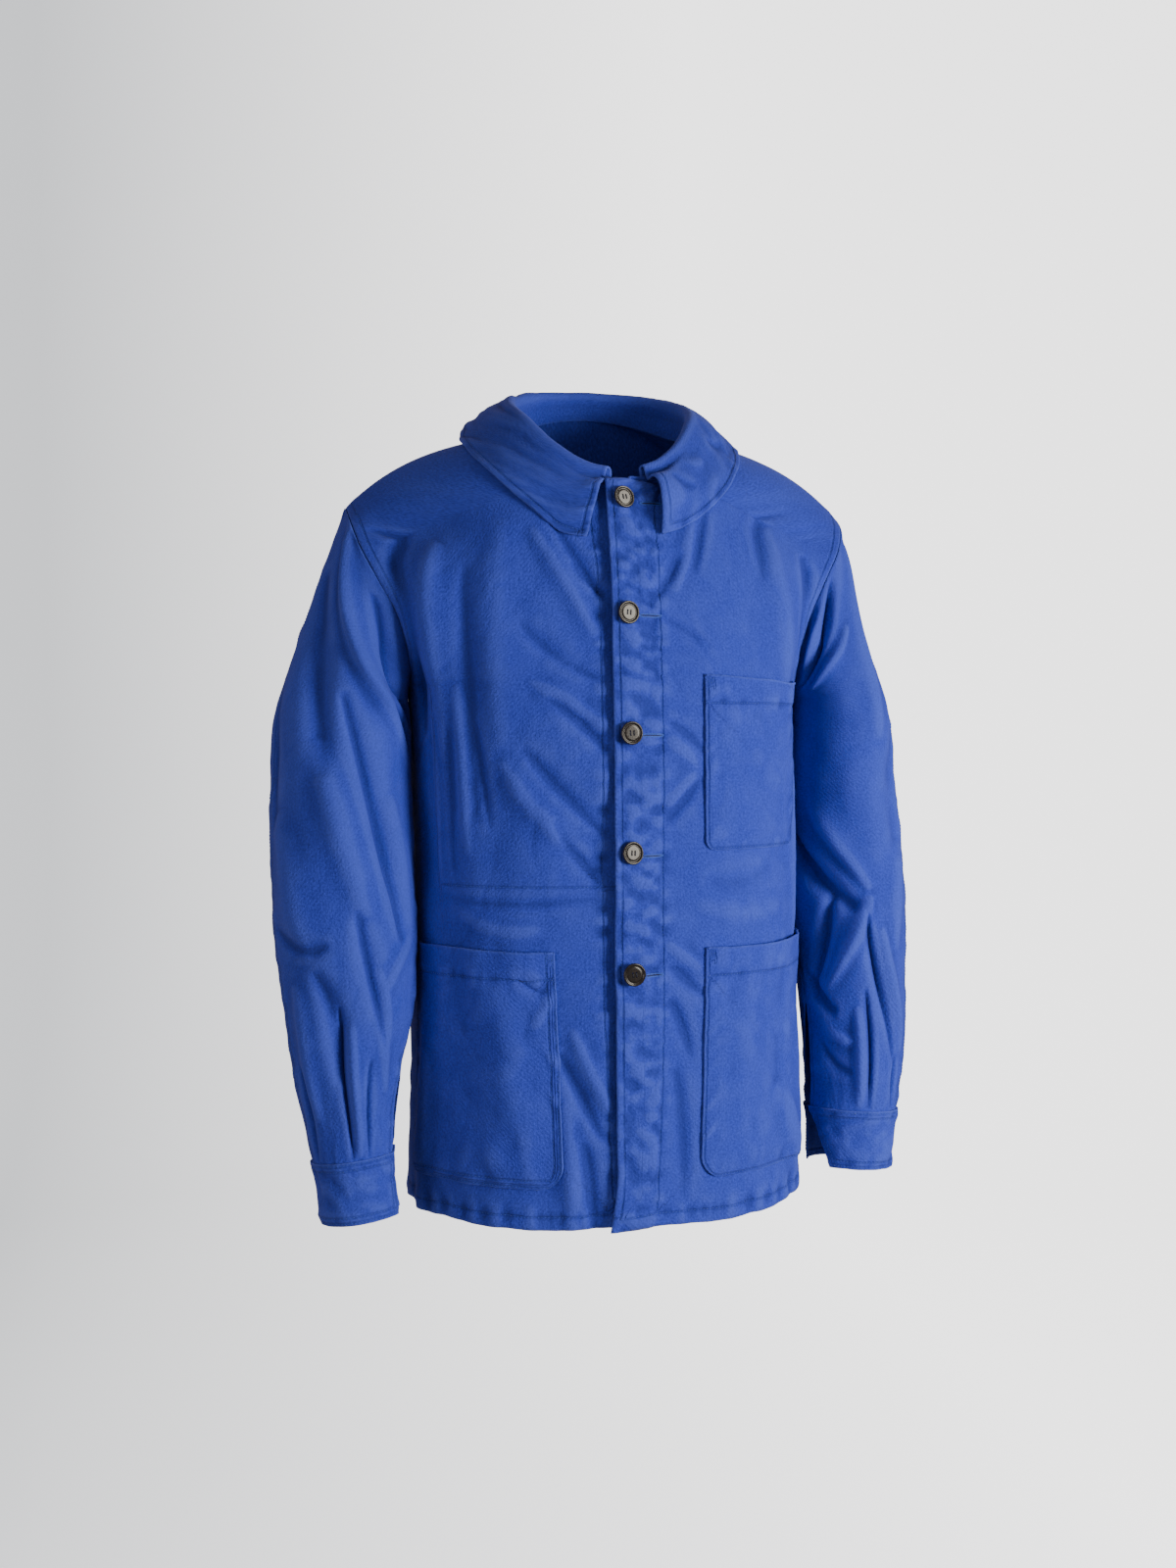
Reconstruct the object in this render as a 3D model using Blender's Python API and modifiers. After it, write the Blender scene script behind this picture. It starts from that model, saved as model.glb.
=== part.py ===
"""A blue cotton chore jacket, buttoned, in the form it keeps when worn.

Metres, +Z up. The jacket faces -Y and the wearer's left is +X. The origin is on the centre plane
at the level of the neck, over the shoulders that carry the jacket.
Every cloth piece is a grid of points on the garment's own form, given its thickness by Solidify.
"""

import math

import bmesh
import bpy
import numpy as np
from mathutils import Vector
from mathutils.bvhtree import BVHTree

# Driving dimensions
CLOTH = 0.0016              # one ply with its seam allowances
FOLDED_CLOTH = 0.0022       # two plies, as in the collar and cuffs
SEAM_GAP = 0.0003
HEM_HEIGHT = -0.755
ARMPIT_HEIGHT = -0.262
FRONT_NECK_HEIGHT = -0.0745
NECK_HALF_WIDTH = 0.088
NECK_SIDE_HEIGHT = -0.016
BACK_NECK = (0.083, 0.016)      # how far back, how high
FRONT_NECK_REACH = -0.101
OVERLAP = 0.016                 # each front runs this far past the centre line
BUTTON_DIAMETER = 0.0203
BUTTON_HEIGHTS = [-0.0965] + [-0.2005 - 0.1086 * i for i in range(4)]
CUFF_HEIGHT = 0.055
SLEEVE_LENGTH = 0.55            # shoulder point to cuff seam
VENT_LENGTH = 0.105
ARM_RADIUS = 0.060              # a mean one, which turns degrees round the arm into metres for the folds
CLOSURE = (0.0052, 0.045, 0.0012)   # how far the left front stands off at its edge, over what width, and beyond
PRESSED_AT_NECK = 0.4           # how much of that the collar's end presses flat again
RIGHT_FRONT_TUCK = -0.0004      # the right front lies a little further in, under the left one
POCKET_LIFT = CLOTH + SEAM_GAP + 0.0020     # from the front's middle surface to the pocket's
COLLAR_LEFT_START, COLLAR_RIGHT_START = 0.0205, -0.0083      # where the collar's ends sit, across
COLLAR_STANDS_OFF = 0.0011      # least air between the collar's fall and the body
ARMPIT_APART = 0.0008           # half the space between the sleeve's two parts under the arm

# Sections of the body, hem to shoulder. A row is reached at its step; between rows the form is smooth.
# step, front reach, back reach, side half-width, fullness of the curve between them
BODY = {
    "hem": (0.0, -0.151, 0.140, 0.193, 0.66),
    "hip": (0.30, -0.1455, 0.130, 0.188, 0.67),
    "waist": (0.60, -0.1425, 0.122, 0.186, 0.68),
    "chest": (0.90, -0.1415, 0.124, 0.187, 0.68),
    "armpit": (1.0, -0.139, 0.124, 0.189, 0.67),
    "yoke": (1.3, -0.127, 0.118, 0.205, 0.60),
    "neck": (1.6, -0.101, 0.100, 0.240, 0.50),
    "shoulder": (2.0, -0.040, 0.060, 0.247, 0.40),
}

# The armhole from the armpit (0) to the shoulder point (1).
# share of the way, half-width, front reach, back reach, height
ARMHOLE = {
    "armpit": (0.0, 0.189, 0.000, 0.000, -0.262),
    "under": (0.15, 0.189, -0.038, 0.042, -0.243),
    "low": (0.35, 0.199, -0.064, 0.068, -0.198),
    "middle": (0.55, 0.218, -0.060, 0.072, -0.160),
    "high": (0.75, 0.235, -0.041, 0.060, -0.128),
    "cap": (0.90, 0.244, -0.014, 0.037, -0.103),
    "point": (1.0, 0.247, 0.012, 0.012, -0.090),
}

# Sections of each sleeve below the armhole, on its bent axis; the arms hang a little differently.
# centre across, centre front to back, centre height, half-width, half-depth
SLEEVES = {
    "left": {
        "upper arm": (0.2410, 0.000, -0.285, 0.0485, 0.078),
        "biceps": (0.2455, 0.000, -0.352, 0.0530, 0.079),
        "elbow": (0.2485, -0.004, -0.422, 0.0565, 0.076),
        "below elbow": (0.2500, -0.014, -0.492, 0.0575, 0.070),
        "forearm": (0.2505, -0.025, -0.550, 0.0530, 0.063),
        "pleats": (0.2500, -0.036, -0.606, 0.0500, 0.056),
        "wrist": (0.2470, -0.042, -0.650, 0.0465, 0.050),
        "cuff seam": (0.2440, -0.045, -0.681, 0.0445, 0.046),
        "cuff edge": (0.2405, -0.050, -0.736, 0.0405, 0.045),
    },
    "right": {
        "upper arm": (0.2520, -0.012, -0.292, 0.0630, 0.078),
        "biceps": (0.2550, -0.024, -0.360, 0.0655, 0.079),
        "elbow": (0.2545, -0.036, -0.432, 0.0665, 0.077),
        "below elbow": (0.2520, -0.044, -0.505, 0.0655, 0.070),
        "forearm": (0.2505, -0.056, -0.562, 0.0600, 0.063),
        "pleats": (0.2530, -0.066, -0.618, 0.0495, 0.055),
        "wrist": (0.2500, -0.073, -0.664, 0.0420, 0.048),
        "cuff seam": (0.2475, -0.078, -0.695, 0.0380, 0.043),
        "cuff edge": (0.2410, -0.084, -0.750, 0.0365, 0.042),
    },
}
CAP_FULLNESS = {"left": -0.006, "right": 0.002}      # the sleeve head's roundness at its top
ARMHOLE_SHIFT = {"left": -0.006, "right": 0.005}    # how far the middle of each armhole sits out
# Degrees round the arm from its outer side, at the armhole and below it.
OUTER_SEAM = {"left": (-22.0, 24.0), "right": (-32.0, 8.0)}
INNER_SEAM = (184.0, 168.0)     # at the armhole and at the wrist
# Where the open cuff ends, in front and behind: at its seam and at its edge.
CUFF_FRONT_END = {"left": (172.0, 138.0), "right": (150.0, 150.0)}
CUFF_BACK_END = 200.0

# Largest folds of the cloth: from and to are (distance from the centre line, height).
# A negative depth is a trough, a positive one a ridge.
# from across, from height, to across, to height, half-width, depth
FRONT_FOLDS_RIGHT = {
    "beside the armhole": (0.218, -0.130, 0.205, -0.300, 0.015, -0.007),
    "chest ridge": (0.180, -0.150, 0.175, -0.340, 0.020, 0.005),
    "neck to placket": (0.055, -0.120, 0.012, -0.190, 0.012, -0.004),
    "pocket ridge": (0.110, -0.520, 0.080, -0.730, 0.024, 0.004),
    "low diagonal": (0.060, -0.560, 0.020, -0.640, 0.012, -0.003),
}
FRONT_FOLDS_LEFT = {
    "beside the armhole": (0.196, -0.140, 0.212, -0.290, 0.014, -0.007),
    "collar drag": (0.075, -0.125, 0.055, -0.200, 0.012, 0.003),
    "chest drag": (0.035, -0.300, 0.075, -0.330, 0.012, -0.003),
    "pocket hollow": (0.050, -0.520, 0.070, -0.560, 0.014, -0.003),
    "low side": (0.150, -0.640, 0.200, -0.730, 0.020, 0.005),
}
BACK_FOLDS = {
    "left blade": (0.120, -0.130, 0.165, -0.330, 0.020, -0.006),
    "right blade": (-0.125, -0.130, -0.160, -0.310, 0.020, -0.006),
    "left waist": (0.060, -0.400, 0.040, -0.650, 0.026, 0.005),
    "right waist": (-0.090, -0.420, -0.080, -0.690, 0.024, 0.005),
    "middle": (-0.010, -0.350, -0.020, -0.600, 0.024, -0.005),
    "left flare": (0.205, -0.650, 0.205, -0.800, 0.070, 0.036),
    "left side": (0.212, -0.290, 0.212, -0.620, 0.030, 0.007),
    "right side": (-0.212, -0.290, -0.212, -0.620, 0.030, 0.007),
}
# degrees round the arm, height, degrees, height, half-width in metres, depth
SLEEVE_FOLDS = {
    "front trough": (70.0, -0.200, 40.0, -0.420, 0.014, -0.006),
    "front ridge": (105.0, -0.180, 140.0, -0.330, 0.014, 0.005),
    "elbow break": (120.0, -0.440, 60.0, -0.480, 0.014, -0.005),
    "elbow ridge": (20.0, -0.400, 30.0, -0.500, 0.022, 0.004),
    "back trough": (250.0, -0.230, 285.0, -0.420, 0.016, -0.006),
    "forearm trough": (95.0, -0.500, 80.0, -0.620, 0.012, -0.005),
    "first pleat": (40.0, -0.610, 46.0, -0.705, 0.008, -0.004),
    "second pleat": (75.0, -0.620, 72.0, -0.705, 0.008, -0.004),
}

# Pockets: side; inner top, inner bottom, outer top and outer bottom distance from the centre; top and bottom
# height; radius of the bottom corners
POCKETS = {
    "pocket_chest": ("left", 0.0700, 0.0700, 0.1900, 0.1880, -0.2555, -0.4150, 0.014),
    "pocket_lower_left": ("left", 0.0705, 0.0625, 0.2450, 0.2480, -0.5040, -0.7150, 0.020),
    "pocket_lower_right": ("right", 0.0705, 0.0625, 0.2290, 0.2340, -0.5040, -0.7150, 0.020),
}

FRONT_ROWS, FRONT_COLUMNS = 24, 13
BACK_COLUMNS = 22
SLEEVE_ROWS, SLEEVE_COLUMNS = 21, 9
COLLAR_STATIONS = 34


def smooth(rows, at):
    """A smooth curve through the rows (first column: where), read at one place or several."""
    rows = np.asarray(list(rows.values()) if isinstance(rows, dict) else rows, float)
    where, values = rows[:, 0], rows[:, 1:]
    slopes = np.gradient(values, where, axis=0)
    at = np.clip(np.atleast_1d(np.asarray(at, float)), where[0], where[-1])
    i = np.clip(np.searchsorted(where, at, "right") - 1, 0, len(where) - 2)
    width = (where[i + 1] - where[i])[:, None]
    s = (at - where[i])[:, None] / width
    return (
        values[i] * (2 * s**3 - 3 * s**2 + 1)
        + slopes[i] * width * (s**3 - 2 * s**2 + s)
        + values[i + 1] * (3 * s**2 - 2 * s**3)
        + slopes[i + 1] * width * (s**3 - s**2)
    )


def neckline(half, share):
    """The neck seam from the centre (share 0) to the shoulder seam (1)."""
    angle = share * math.pi / 2
    if half == "front":
        reach, low = FRONT_NECK_REACH, FRONT_NECK_HEIGHT
    else:
        reach, low = BACK_NECK
    rise = 1 - abs(math.cos(angle)) ** 1.6
    return np.array([
        NECK_HALF_WIDTH * math.sin(angle),
        reach * math.cos(angle) ** 0.9 if angle < math.pi / 2 - 1e-9 else 0.0,
        low + (NECK_SIDE_HEIGHT - low) * rise,
    ])


def armhole(half, share, side):
    x, front, back, z = smooth(ARMHOLE, share)[0]
    x += ARMHOLE_SHIFT[side] * math.sin(math.pi * share) ** 2
    return np.array([x, front if half == "front" else back, z])


def row_ends(half, step, side):
    """Where a row of the panel starts (centre line or neck) and ends (side seam or armhole)."""
    front, back, half_width, fullness = smooth(BODY, step)[0]
    reach = front if half == "front" else back
    top = FRONT_NECK_HEIGHT if half == "front" else BACK_NECK[1]
    if step <= 1.0:
        height = HEM_HEIGHT + (ARMPIT_HEIGHT - HEM_HEIGHT) * step
        start = np.array([0.0, reach, height])
        end = np.array([half_width, 0.0, height])
    elif step <= 1.6:
        up = (step - 1.0) / 0.6
        height = ARMPIT_HEIGHT + (top - ARMPIT_HEIGHT) * up
        if half == "back":
            reach = 0.124 + (BACK_NECK[0] - 0.124) * up**1.8
        start = np.array([0.0, reach, height])
        end = armhole(half, 0.75 * up, side)
    else:
        up = (step - 1.6) / 0.4
        start = neckline(half, up)
        end = armhole(half, 0.75 + 0.25 * up, side)
    return start, end, fullness


def row_curve(half, step, side, count=161):
    """Points along one row, on a curve that leaves the centre squarely and arrives along the side."""
    start, end, fullness = row_ends(half, step, side)
    reach = abs(end[1] - start[1])
    sign = -1 if half == "front" else 1
    if step <= 1.0:
        lean = 0.0
    else:
        lean = min(1.0, (step - 1.0) / 0.6)
    chord = end - start
    square_start = start + np.array([fullness * (end[0] - start[0]), 0.0, 0.0])
    square_end = end + np.array([0.0, sign * fullness * reach, 0.0])
    top = 0.0 if step <= 1.6 else (step - 1.6) / 0.4
    belly = sign * 0.006 * (1 - top)
    flat_start = start + chord * 0.33 + np.array([0.0, belly, 0.012])
    flat_end = end - chord * 0.33 + np.array([0.0, belly, 0.030])
    corner = end + np.array([-0.35 * lean * (end[0] - start[0]), sign * (1 - 0.55 * lean) * fullness * reach, 0.0])
    one = square_start * (1 - top) + flat_start * top
    two = (square_end * (1 - lean) + corner * lean) * (1 - top) + flat_end * top
    s = np.linspace(0, 1, count)[:, None]
    return start * (1 - s) ** 3 + 3 * one * s * (1 - s) ** 2 + 3 * two * s**2 * (1 - s) + end * s**3


def along_row(half, step, distances, side):
    """Points at these distances from the centre line; a negative distance is past it."""
    points = row_curve(half, step, side)
    run = np.concatenate([[0], np.cumsum(np.linalg.norm(np.diff(points, axis=0), axis=1))])
    found = np.stack([np.interp(np.abs(distances), run, points[:, k]) for k in range(3)], axis=1)
    found[:, 0] *= np.where(np.asarray(distances) < 0, -1, 1)
    return found


def row_length(half, step, side):
    points = row_curve(half, step, side)
    return float(np.linalg.norm(np.diff(points, axis=0), axis=1).sum())


def step_at(height, half="front"):
    top = FRONT_NECK_HEIGHT if half == "front" else BACK_NECK[1]
    if height <= ARMPIT_HEIGHT:
        return (height - HEM_HEIGHT) / (ARMPIT_HEIGHT - HEM_HEIGHT)
    return 1.0 + 0.6 * (height - ARMPIT_HEIGHT) / (top - ARMPIT_HEIGHT)


def fold_depth(folds, across, height):
    """How far each point stands out of the smooth form: soft ridges and troughs that fade at their ends."""
    depth = np.zeros(np.shape(across))
    for x0, z0, x1, z1, half_width, amount in folds.values():
        dx, dz = x1 - x0, z1 - z0
        run = math.hypot(dx, dz)
        along = ((across - x0) * dx + (height - z0) * dz) / run**2
        aside = ((across - x0) * dz - (height - z0) * dx) / run
        fade = np.exp(-np.clip(np.abs(along - 0.5) - 0.35, 0, None) ** 2 / 0.03)
        depth += amount * np.exp(-((aside / half_width) ** 2)) * fade
    return depth


def normals_of(grid, outward):
    """Unit normals of a grid of points, turned to the side where outward is."""
    normals = np.cross(np.gradient(grid, axis=0), np.gradient(grid, axis=1))
    normals /= np.maximum(np.linalg.norm(normals, axis=2, keepdims=True), 1e-12)
    middle = tuple(n // 2 for n in grid.shape[:2])
    return -normals if normals[middle] @ outward < 0 else normals


def front_lift(side, spread, grid):
    """How far a front stands out of the smooth form: its folds, and the closure where the two fronts overlap."""
    if side == "right":
        return RIGHT_FRONT_TUCK + fold_depth(FRONT_FOLDS_RIGHT, spread, grid[:, :, 2])
    edge_lift, width, rest = CLOSURE
    closure = np.exp(-((np.clip(grid[:, :, 0] + OVERLAP, 0, None) / width) ** 2))
    closure *= 1 - PRESSED_AT_NECK * np.clip(1 - (FRONT_NECK_HEIGHT - grid[:, :, 2]) / 0.05, 0, 1)
    return edge_lift * closure + rest + fold_depth(FRONT_FOLDS_LEFT, spread, grid[:, :, 2])


def front_panel(side, steps, columns):
    """The points of one front, hem to shoulder and closure to side."""
    grid, spread = [], []
    for step in steps:
        first = -OVERLAP if step <= 1.6 else SEAM_GAP
        last = row_length("front", step, side) - 1.5 * SEAM_GAP
        distances = first + (last - first) * np.linspace(0, 1, columns) ** 1.15
        grid.append(along_row("front", step, distances, side))
        spread.append(distances)
    grid, spread = np.array(grid), np.array(spread)
    grid[-1, :, 1] -= 1.5 * SEAM_GAP
    lift = front_lift(side, spread, grid)
    edge = np.clip((row_end_distance(grid) - 0.004) / 0.02, 0, 1)
    lift = np.where(spread > 0.1, lift * edge, lift)
    near_neck = np.clip((2.0 - np.asarray(steps)) / 0.25, 0, 1)[:, None]
    lift = lift * near_neck
    grid = grid + normals_of(grid, np.array([0.3, -1.0, 0.2])) * lift[:, :, None]
    if side == "right":
        grid[:, :, 0] *= -1
    return grid


def row_end_distance(grid):
    """Distance along each row to its last point."""
    steps = np.linalg.norm(np.diff(grid, axis=1), axis=2)
    run = np.concatenate([np.zeros((len(grid), 1)), np.cumsum(steps, axis=1)], axis=1)
    return run[:, -1:] - run


def back_panel(steps, columns):
    """The back, one piece from side seam to side seam: below the neck its two middle columns are one."""
    half = columns // 2
    grid, spread = [], []
    for step in steps:
        row, run = [], []
        for side, sign in (("right", -1), ("left", 1)):
            distances = np.linspace(0, 1, half) * (row_length("back", step, side) - 1.5 * SEAM_GAP)
            distances = distances[::sign]
            row.append(along_row("back", step, distances, side) * np.array([sign, 1, 1]))
            run.append(sign * distances)
        grid.append(np.concatenate(row))
        spread.append(np.concatenate(run))
    grid, spread = np.array(grid), np.array(spread)
    grid[-1, :, 1] += 1.5 * SEAM_GAP
    edge = np.clip((np.abs(spread[:, -1:]) - np.abs(spread) - 0.004) / 0.02, 0, 1)
    near_neck = np.clip((2.0 - np.asarray(steps)) / 0.3, 0, 1)[:, None]
    lift = fold_depth(BACK_FOLDS, spread, grid[:, :, 2]) * edge * near_neck
    grid = grid + normals_of(grid, np.array([0.0, 1.0, 0.2])) * lift[:, :, None]
    below_neck = np.asarray(steps) <= 1.6 + 1e-9
    middle = (grid[below_neck, half - 1] + grid[below_neck, half]) / 2
    grid[below_neck, half - 1] = grid[below_neck, half] = middle
    return grid


def sleeve_axis(side):
    """The sections' centres, down to the edge of the cuff."""
    return np.array([row[:3] for row in SLEEVES[side].values()])


def ring(centre, direction, half_width, half_depth, degrees):
    """A closed section square to the arm: 0 degrees is outward, 90 to the front, 180 to the body."""
    direction = direction / np.linalg.norm(direction)
    out = np.cross(np.array([0.0, 1.0, 0.0]), direction)
    out /= np.linalg.norm(out)
    out = out if out[0] > 0 else -out
    front = np.cross(out, direction)
    front = front if front[1] < 0 else -front
    angle = np.radians(degrees)
    return (
        centre
        + np.outer(half_width * np.cos(angle), out)
        + np.outer(half_depth * np.sin(angle), front)
    )


def armhole_ring(degrees, side, clear=0.0030):
    """The armhole seam at the same angles, a cloth's thickness outside the body's edge."""
    points = []
    for degree in np.asarray(degrees) % 360:
        half = "front" if degree <= 180 else "back"
        share = (1 + math.cos(math.radians(degree))) / 2
        points.append(armhole(half, share, side))
    points = np.array(points)
    up = (points[:, 2] - ARMPIT_HEIGHT) / (ARMHOLE["point"][4] - ARMPIT_HEIGHT)
    points[:, 0] += clear * (0.6 + 0.2 * up)
    points[:, 2] -= clear * (1 - up)
    from_seam = np.asarray(degrees) - INNER_SEAM[0]
    points[:, 1] += ARMPIT_APART * np.sign(from_seam) * np.exp(-((from_seam / 10) ** 2))
    return points


def sleeve_points(side, rounds, degrees_of):
    """Rows of the sleeve's surface; degrees_of gives the angles of the row at that share of the length."""
    axis = sleeve_axis(side)
    directions = np.gradient(axis, axis=0)
    directions[-2] = axis[-1] - axis[-2]
    sections = list(SLEEVES[side].values())[:-1]
    heights = [-0.140, -0.215] + [row[2] for row in sections]
    lengths = np.concatenate([[0], np.cumsum(np.abs(np.diff(heights)))])
    lengths /= lengths[-1]
    grid = []
    for share in rounds:
        degrees = degrees_of(share)
        rings = [armhole_ring(degrees, side)]
        for row, direction in zip(sections, directions):
            rings.append(ring(np.array(row[:3]), direction, row[3], row[4], degrees))
        top = np.clip(np.cos(np.radians(degrees)), 0, 1)[:, None]
        cap = 0.5 * rings[0] + 0.5 * rings[1] + np.array([CAP_FULLNESS[side], 0.0, 0.0]) * top
        cap += np.array([0.004, 0.0, 0.0]) * np.clip(-np.cos(np.radians(degrees)), 0, 1)[:, None]
        rings.insert(1, cap)
        rows = np.array(rings).reshape(len(rings), -1)
        found = smooth(np.column_stack([lengths, rows]), share)[0]
        grid.append(found.reshape(-1, 3))
    return np.array(grid)


def seam_angles(share, side):
    """(outer seam, inner seam) round the arm at this share of the sleeve's length."""
    settle = min(1.0, share / 0.2)
    at_armhole, below = OUTER_SEAM[side]
    outer = at_armhole + (below - at_armhole) * settle
    inner = INNER_SEAM[0] + (INNER_SEAM[1] - INNER_SEAM[0]) * share
    return outer, inner


def vent_opening(share):
    """How far the vent has opened, from 0 at its top to 1 at the cuff."""
    start = 1 - VENT_LENGTH / SLEEVE_LENGTH
    return max(0.0, (share - start) / (1 - start)) ** 0.8


def sleeve_panel(side, part, rounds, columns):
    """One part of a sleeve, as the wearer's left: the upper in front, the under behind."""
    gap = math.degrees(2.2 * SEAM_GAP / 0.055)

    def degrees_of(share):
        outer, inner = seam_angles(share, side)
        opening = vent_opening(share)
        if part == "upper":
            last = inner - gap - opening * (inner - CUFF_FRONT_END[side][0])
            return np.linspace(outer + gap, last, columns)
        return np.linspace(inner + gap + opening * (CUFF_BACK_END - inner), outer + 360 - gap, columns)

    grid = sleeve_points(side, rounds, degrees_of)
    degrees = np.array([degrees_of(share) for share in rounds])
    folds = {
        name: (math.radians(a) * ARM_RADIUS, z0, math.radians(b) * ARM_RADIUS, z1, w, d)
        for name, (a, z0, b, z1, w, d) in SLEEVE_FOLDS.items()
    }
    lift = fold_depth(folds, np.radians(degrees) * ARM_RADIUS, grid[:, :, 2])
    inside = np.clip(np.minimum(degrees - degrees[:, :1], degrees[:, -1:] - degrees) / 18, 0, 1)
    body_side = np.clip((np.abs(degrees - 180) - 30) / 40, 0, 1)
    ends = np.clip(np.minimum(np.asarray(rounds), 1.02 - np.asarray(rounds)) / 0.12, 0, 1)[:, None]
    lift = lift * inside * np.maximum(body_side, (lift < 0)) * ends
    middle = np.array([1.0, 0.3, 0.1]) if part == "under" else np.array([0.4, -1.0, 0.1])
    return grid + normals_of(grid, middle) * lift[:, :, None]


def cuff_panel(side, columns):
    """The cuff, a band that stands open at the body side. It hangs 0.3 mm under the sleeve."""
    seam, edge = list(SLEEVES[side].values())[-2:]
    direction = np.array(edge[:3]) - np.array(seam[:3])
    unit = direction / np.linalg.norm(direction)
    grid = []
    for share in (0.0, 0.5, 1.0):
        centre = np.array(seam[:3]) + unit * (2 * SEAM_GAP + CUFF_HEIGHT * share)
        wide, deep = (seam[k] + (edge[k] - seam[k]) * share for k in (3, 4))
        at_seam, at_edge = CUFF_FRONT_END[side]
        degrees = np.linspace(CUFF_BACK_END - 360, at_seam + (at_edge - at_seam) * share, columns)
        grid.append(ring(centre, direction, wide, deep, degrees))
    return np.array(grid)


def neck_seam(fronts, back, steps, stations):
    """The collar's seam, from its left front end round the back to the right one, on the panels' own edges."""
    rows = np.asarray(steps) >= 1.6 - 1e-9
    half = back.shape[1] // 2
    line = np.concatenate([
        fronts["left"][rows, 0],
        back[rows, half][::-1],
        back[rows, half - 1][1:],
        fronts["right"][rows, 0][::-1],
    ])
    run = np.concatenate([[0], np.cumsum(np.linalg.norm(np.diff(line, axis=0), axis=1))])
    start = np.interp(COLLAR_LEFT_START, line[:2, 0], run[:2])
    end = np.interp(COLLAR_RIGHT_START, line[-2:, 0], run[-2:])
    at = np.linspace(start, end, stations)
    return np.stack([np.interp(at, run, line[:, k]) for k in range(3)], axis=1)


# The collar's fold line and outer edge are rings round the neck, from the front (0 degrees) to the back (180).
# Each ring's reach in front and behind, and its half-width.
FOLD_RING = {"front": -0.098, "back": 0.079, "side": 0.0845}
EDGE_RING = {"front": -0.127, "back": 0.115, "side": 0.136}
# degrees, height of the fold, height of the outer edge
COLLAR_HEIGHTS = {
    "front": (0.0, -0.0645, -0.130),
    "point": (20.0, -0.0565, -0.1215),
    "front side": (40.0, -0.037, -0.096),
    "before the side": (65.0, -0.006, -0.057),
    "side": (90.0, 0.014, -0.026),
    "behind the side": (120.0, 0.030, 0.003),
    "back side": (150.0, 0.040, -0.001),
    "back": (180.0, 0.044, -0.008),
}


def ring_round_neck(sizes, degrees):
    angle = np.radians(degrees)
    reach = np.where(np.cos(angle) > 0, -sizes["front"], sizes["back"])
    return np.stack([sizes["side"] * np.sin(angle), -reach * np.cos(angle)], axis=1)


def body_tree(grids):
    """A search tree of the body's middle surface, with every face turned outward."""
    points, faces = [], []
    for grid, outward in grids:
        rows, columns = grid.shape[:2]
        index = np.arange(rows * columns).reshape(rows, columns) + len(points)
        quads = np.stack([index[:-1, :-1], index[:-1, 1:], index[1:, 1:], index[1:, :-1]], axis=-1).reshape(-1, 4)
        a, b, c = grid[rows // 2, columns // 2], grid[rows // 2, columns // 2 + 1], grid[rows // 2 + 1, columns // 2]
        if np.cross(b - a, c - a) @ np.array(outward) < 0:
            quads = quads[:, ::-1]
        points.extend(grid.reshape(-1, 3).tolist())
        faces.extend(quads.tolist())
    return BVHTree.FromPolygons(points, faces)


def clear_of(tree, point, clearance):
    """The point, moved out until it is this far outside the body."""
    place, normal, _, _ = tree.find_nearest(Vector(point))
    place, normal = np.array(place), np.array(normal)
    short = clearance - (point - place) @ normal
    return point + normal * short if short > 0 else point


def collar_grid(seam, tree):
    """Rows from one front end round to the other; columns from the neck seam up the stand and down the fall."""
    stations = len(seam)
    angle = np.degrees(np.arctan2(seam[:, 0], -seam[:, 1] * NECK_HALF_WIDTH / 0.1))
    heights = smooth(COLLAR_HEIGHTS, np.abs(angle))
    fold = np.column_stack([ring_round_neck(FOLD_RING, angle), heights[:, 0]])
    edge_angle = angle.copy()
    ends = np.exp(-(np.minimum(np.arange(stations), np.arange(stations)[::-1]) / 2.2) ** 2)
    edge_angle += np.where(angle > 0, 1.5, -10.0) * ends
    edge = np.column_stack([ring_round_neck(EDGE_RING, edge_angle), heights[:, 1]])
    root = seam + np.array([0, 0, 0.0018]) + (fold - seam) * 0.06
    clearance = (CLOTH + FOLDED_CLOTH) / 2 + COLLAR_STANDS_OFF
    rows = []
    for a, f, e in zip(root, fold, edge):
        out = (e - f) * np.array([1, 1, 0])
        out /= np.linalg.norm(out)
        stand = np.linalg.norm(f - a)
        lip = min(0.004, 0.3 * stand)
        crown = f + out * lip
        row = [a, a * 0.5 + f * 0.5 - out * 0.1 * lip, f - np.array([0, 0, 0.5 * lip]), crown]
        for share, puff in ((0.18, 0.0030), (0.38, 0.0040), (0.60, 0.0035), (0.80, 0.0020), (1.0, 0.0)):
            point = crown * (1 - share) + e * share + np.array([0, 0, puff])
            row.append(clear_of(tree, point, clearance))
        rows.append(row)
    return laid_over(np.array(rows), tree, clearance, first_column=3)


def laid_over(grid, tree, clearance, first_column):
    """The grid with the middle of each of its quads, from this column on, cleared of the body too."""
    rows, columns = grid.shape[:2]
    for _ in range(5):
        for i in range(rows - 1):
            for k in range(first_column, columns - 1):
                corners = grid[i:i + 2, k:k + 2].reshape(4, 3)
                for middle in (corners.mean(axis=0), corners[[0, 2]].mean(axis=0), corners[[1, 3]].mean(axis=0)):
                    grid[i:i + 2, k:k + 2] += clear_of(tree, middle, clearance) - middle
    return grid


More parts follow.
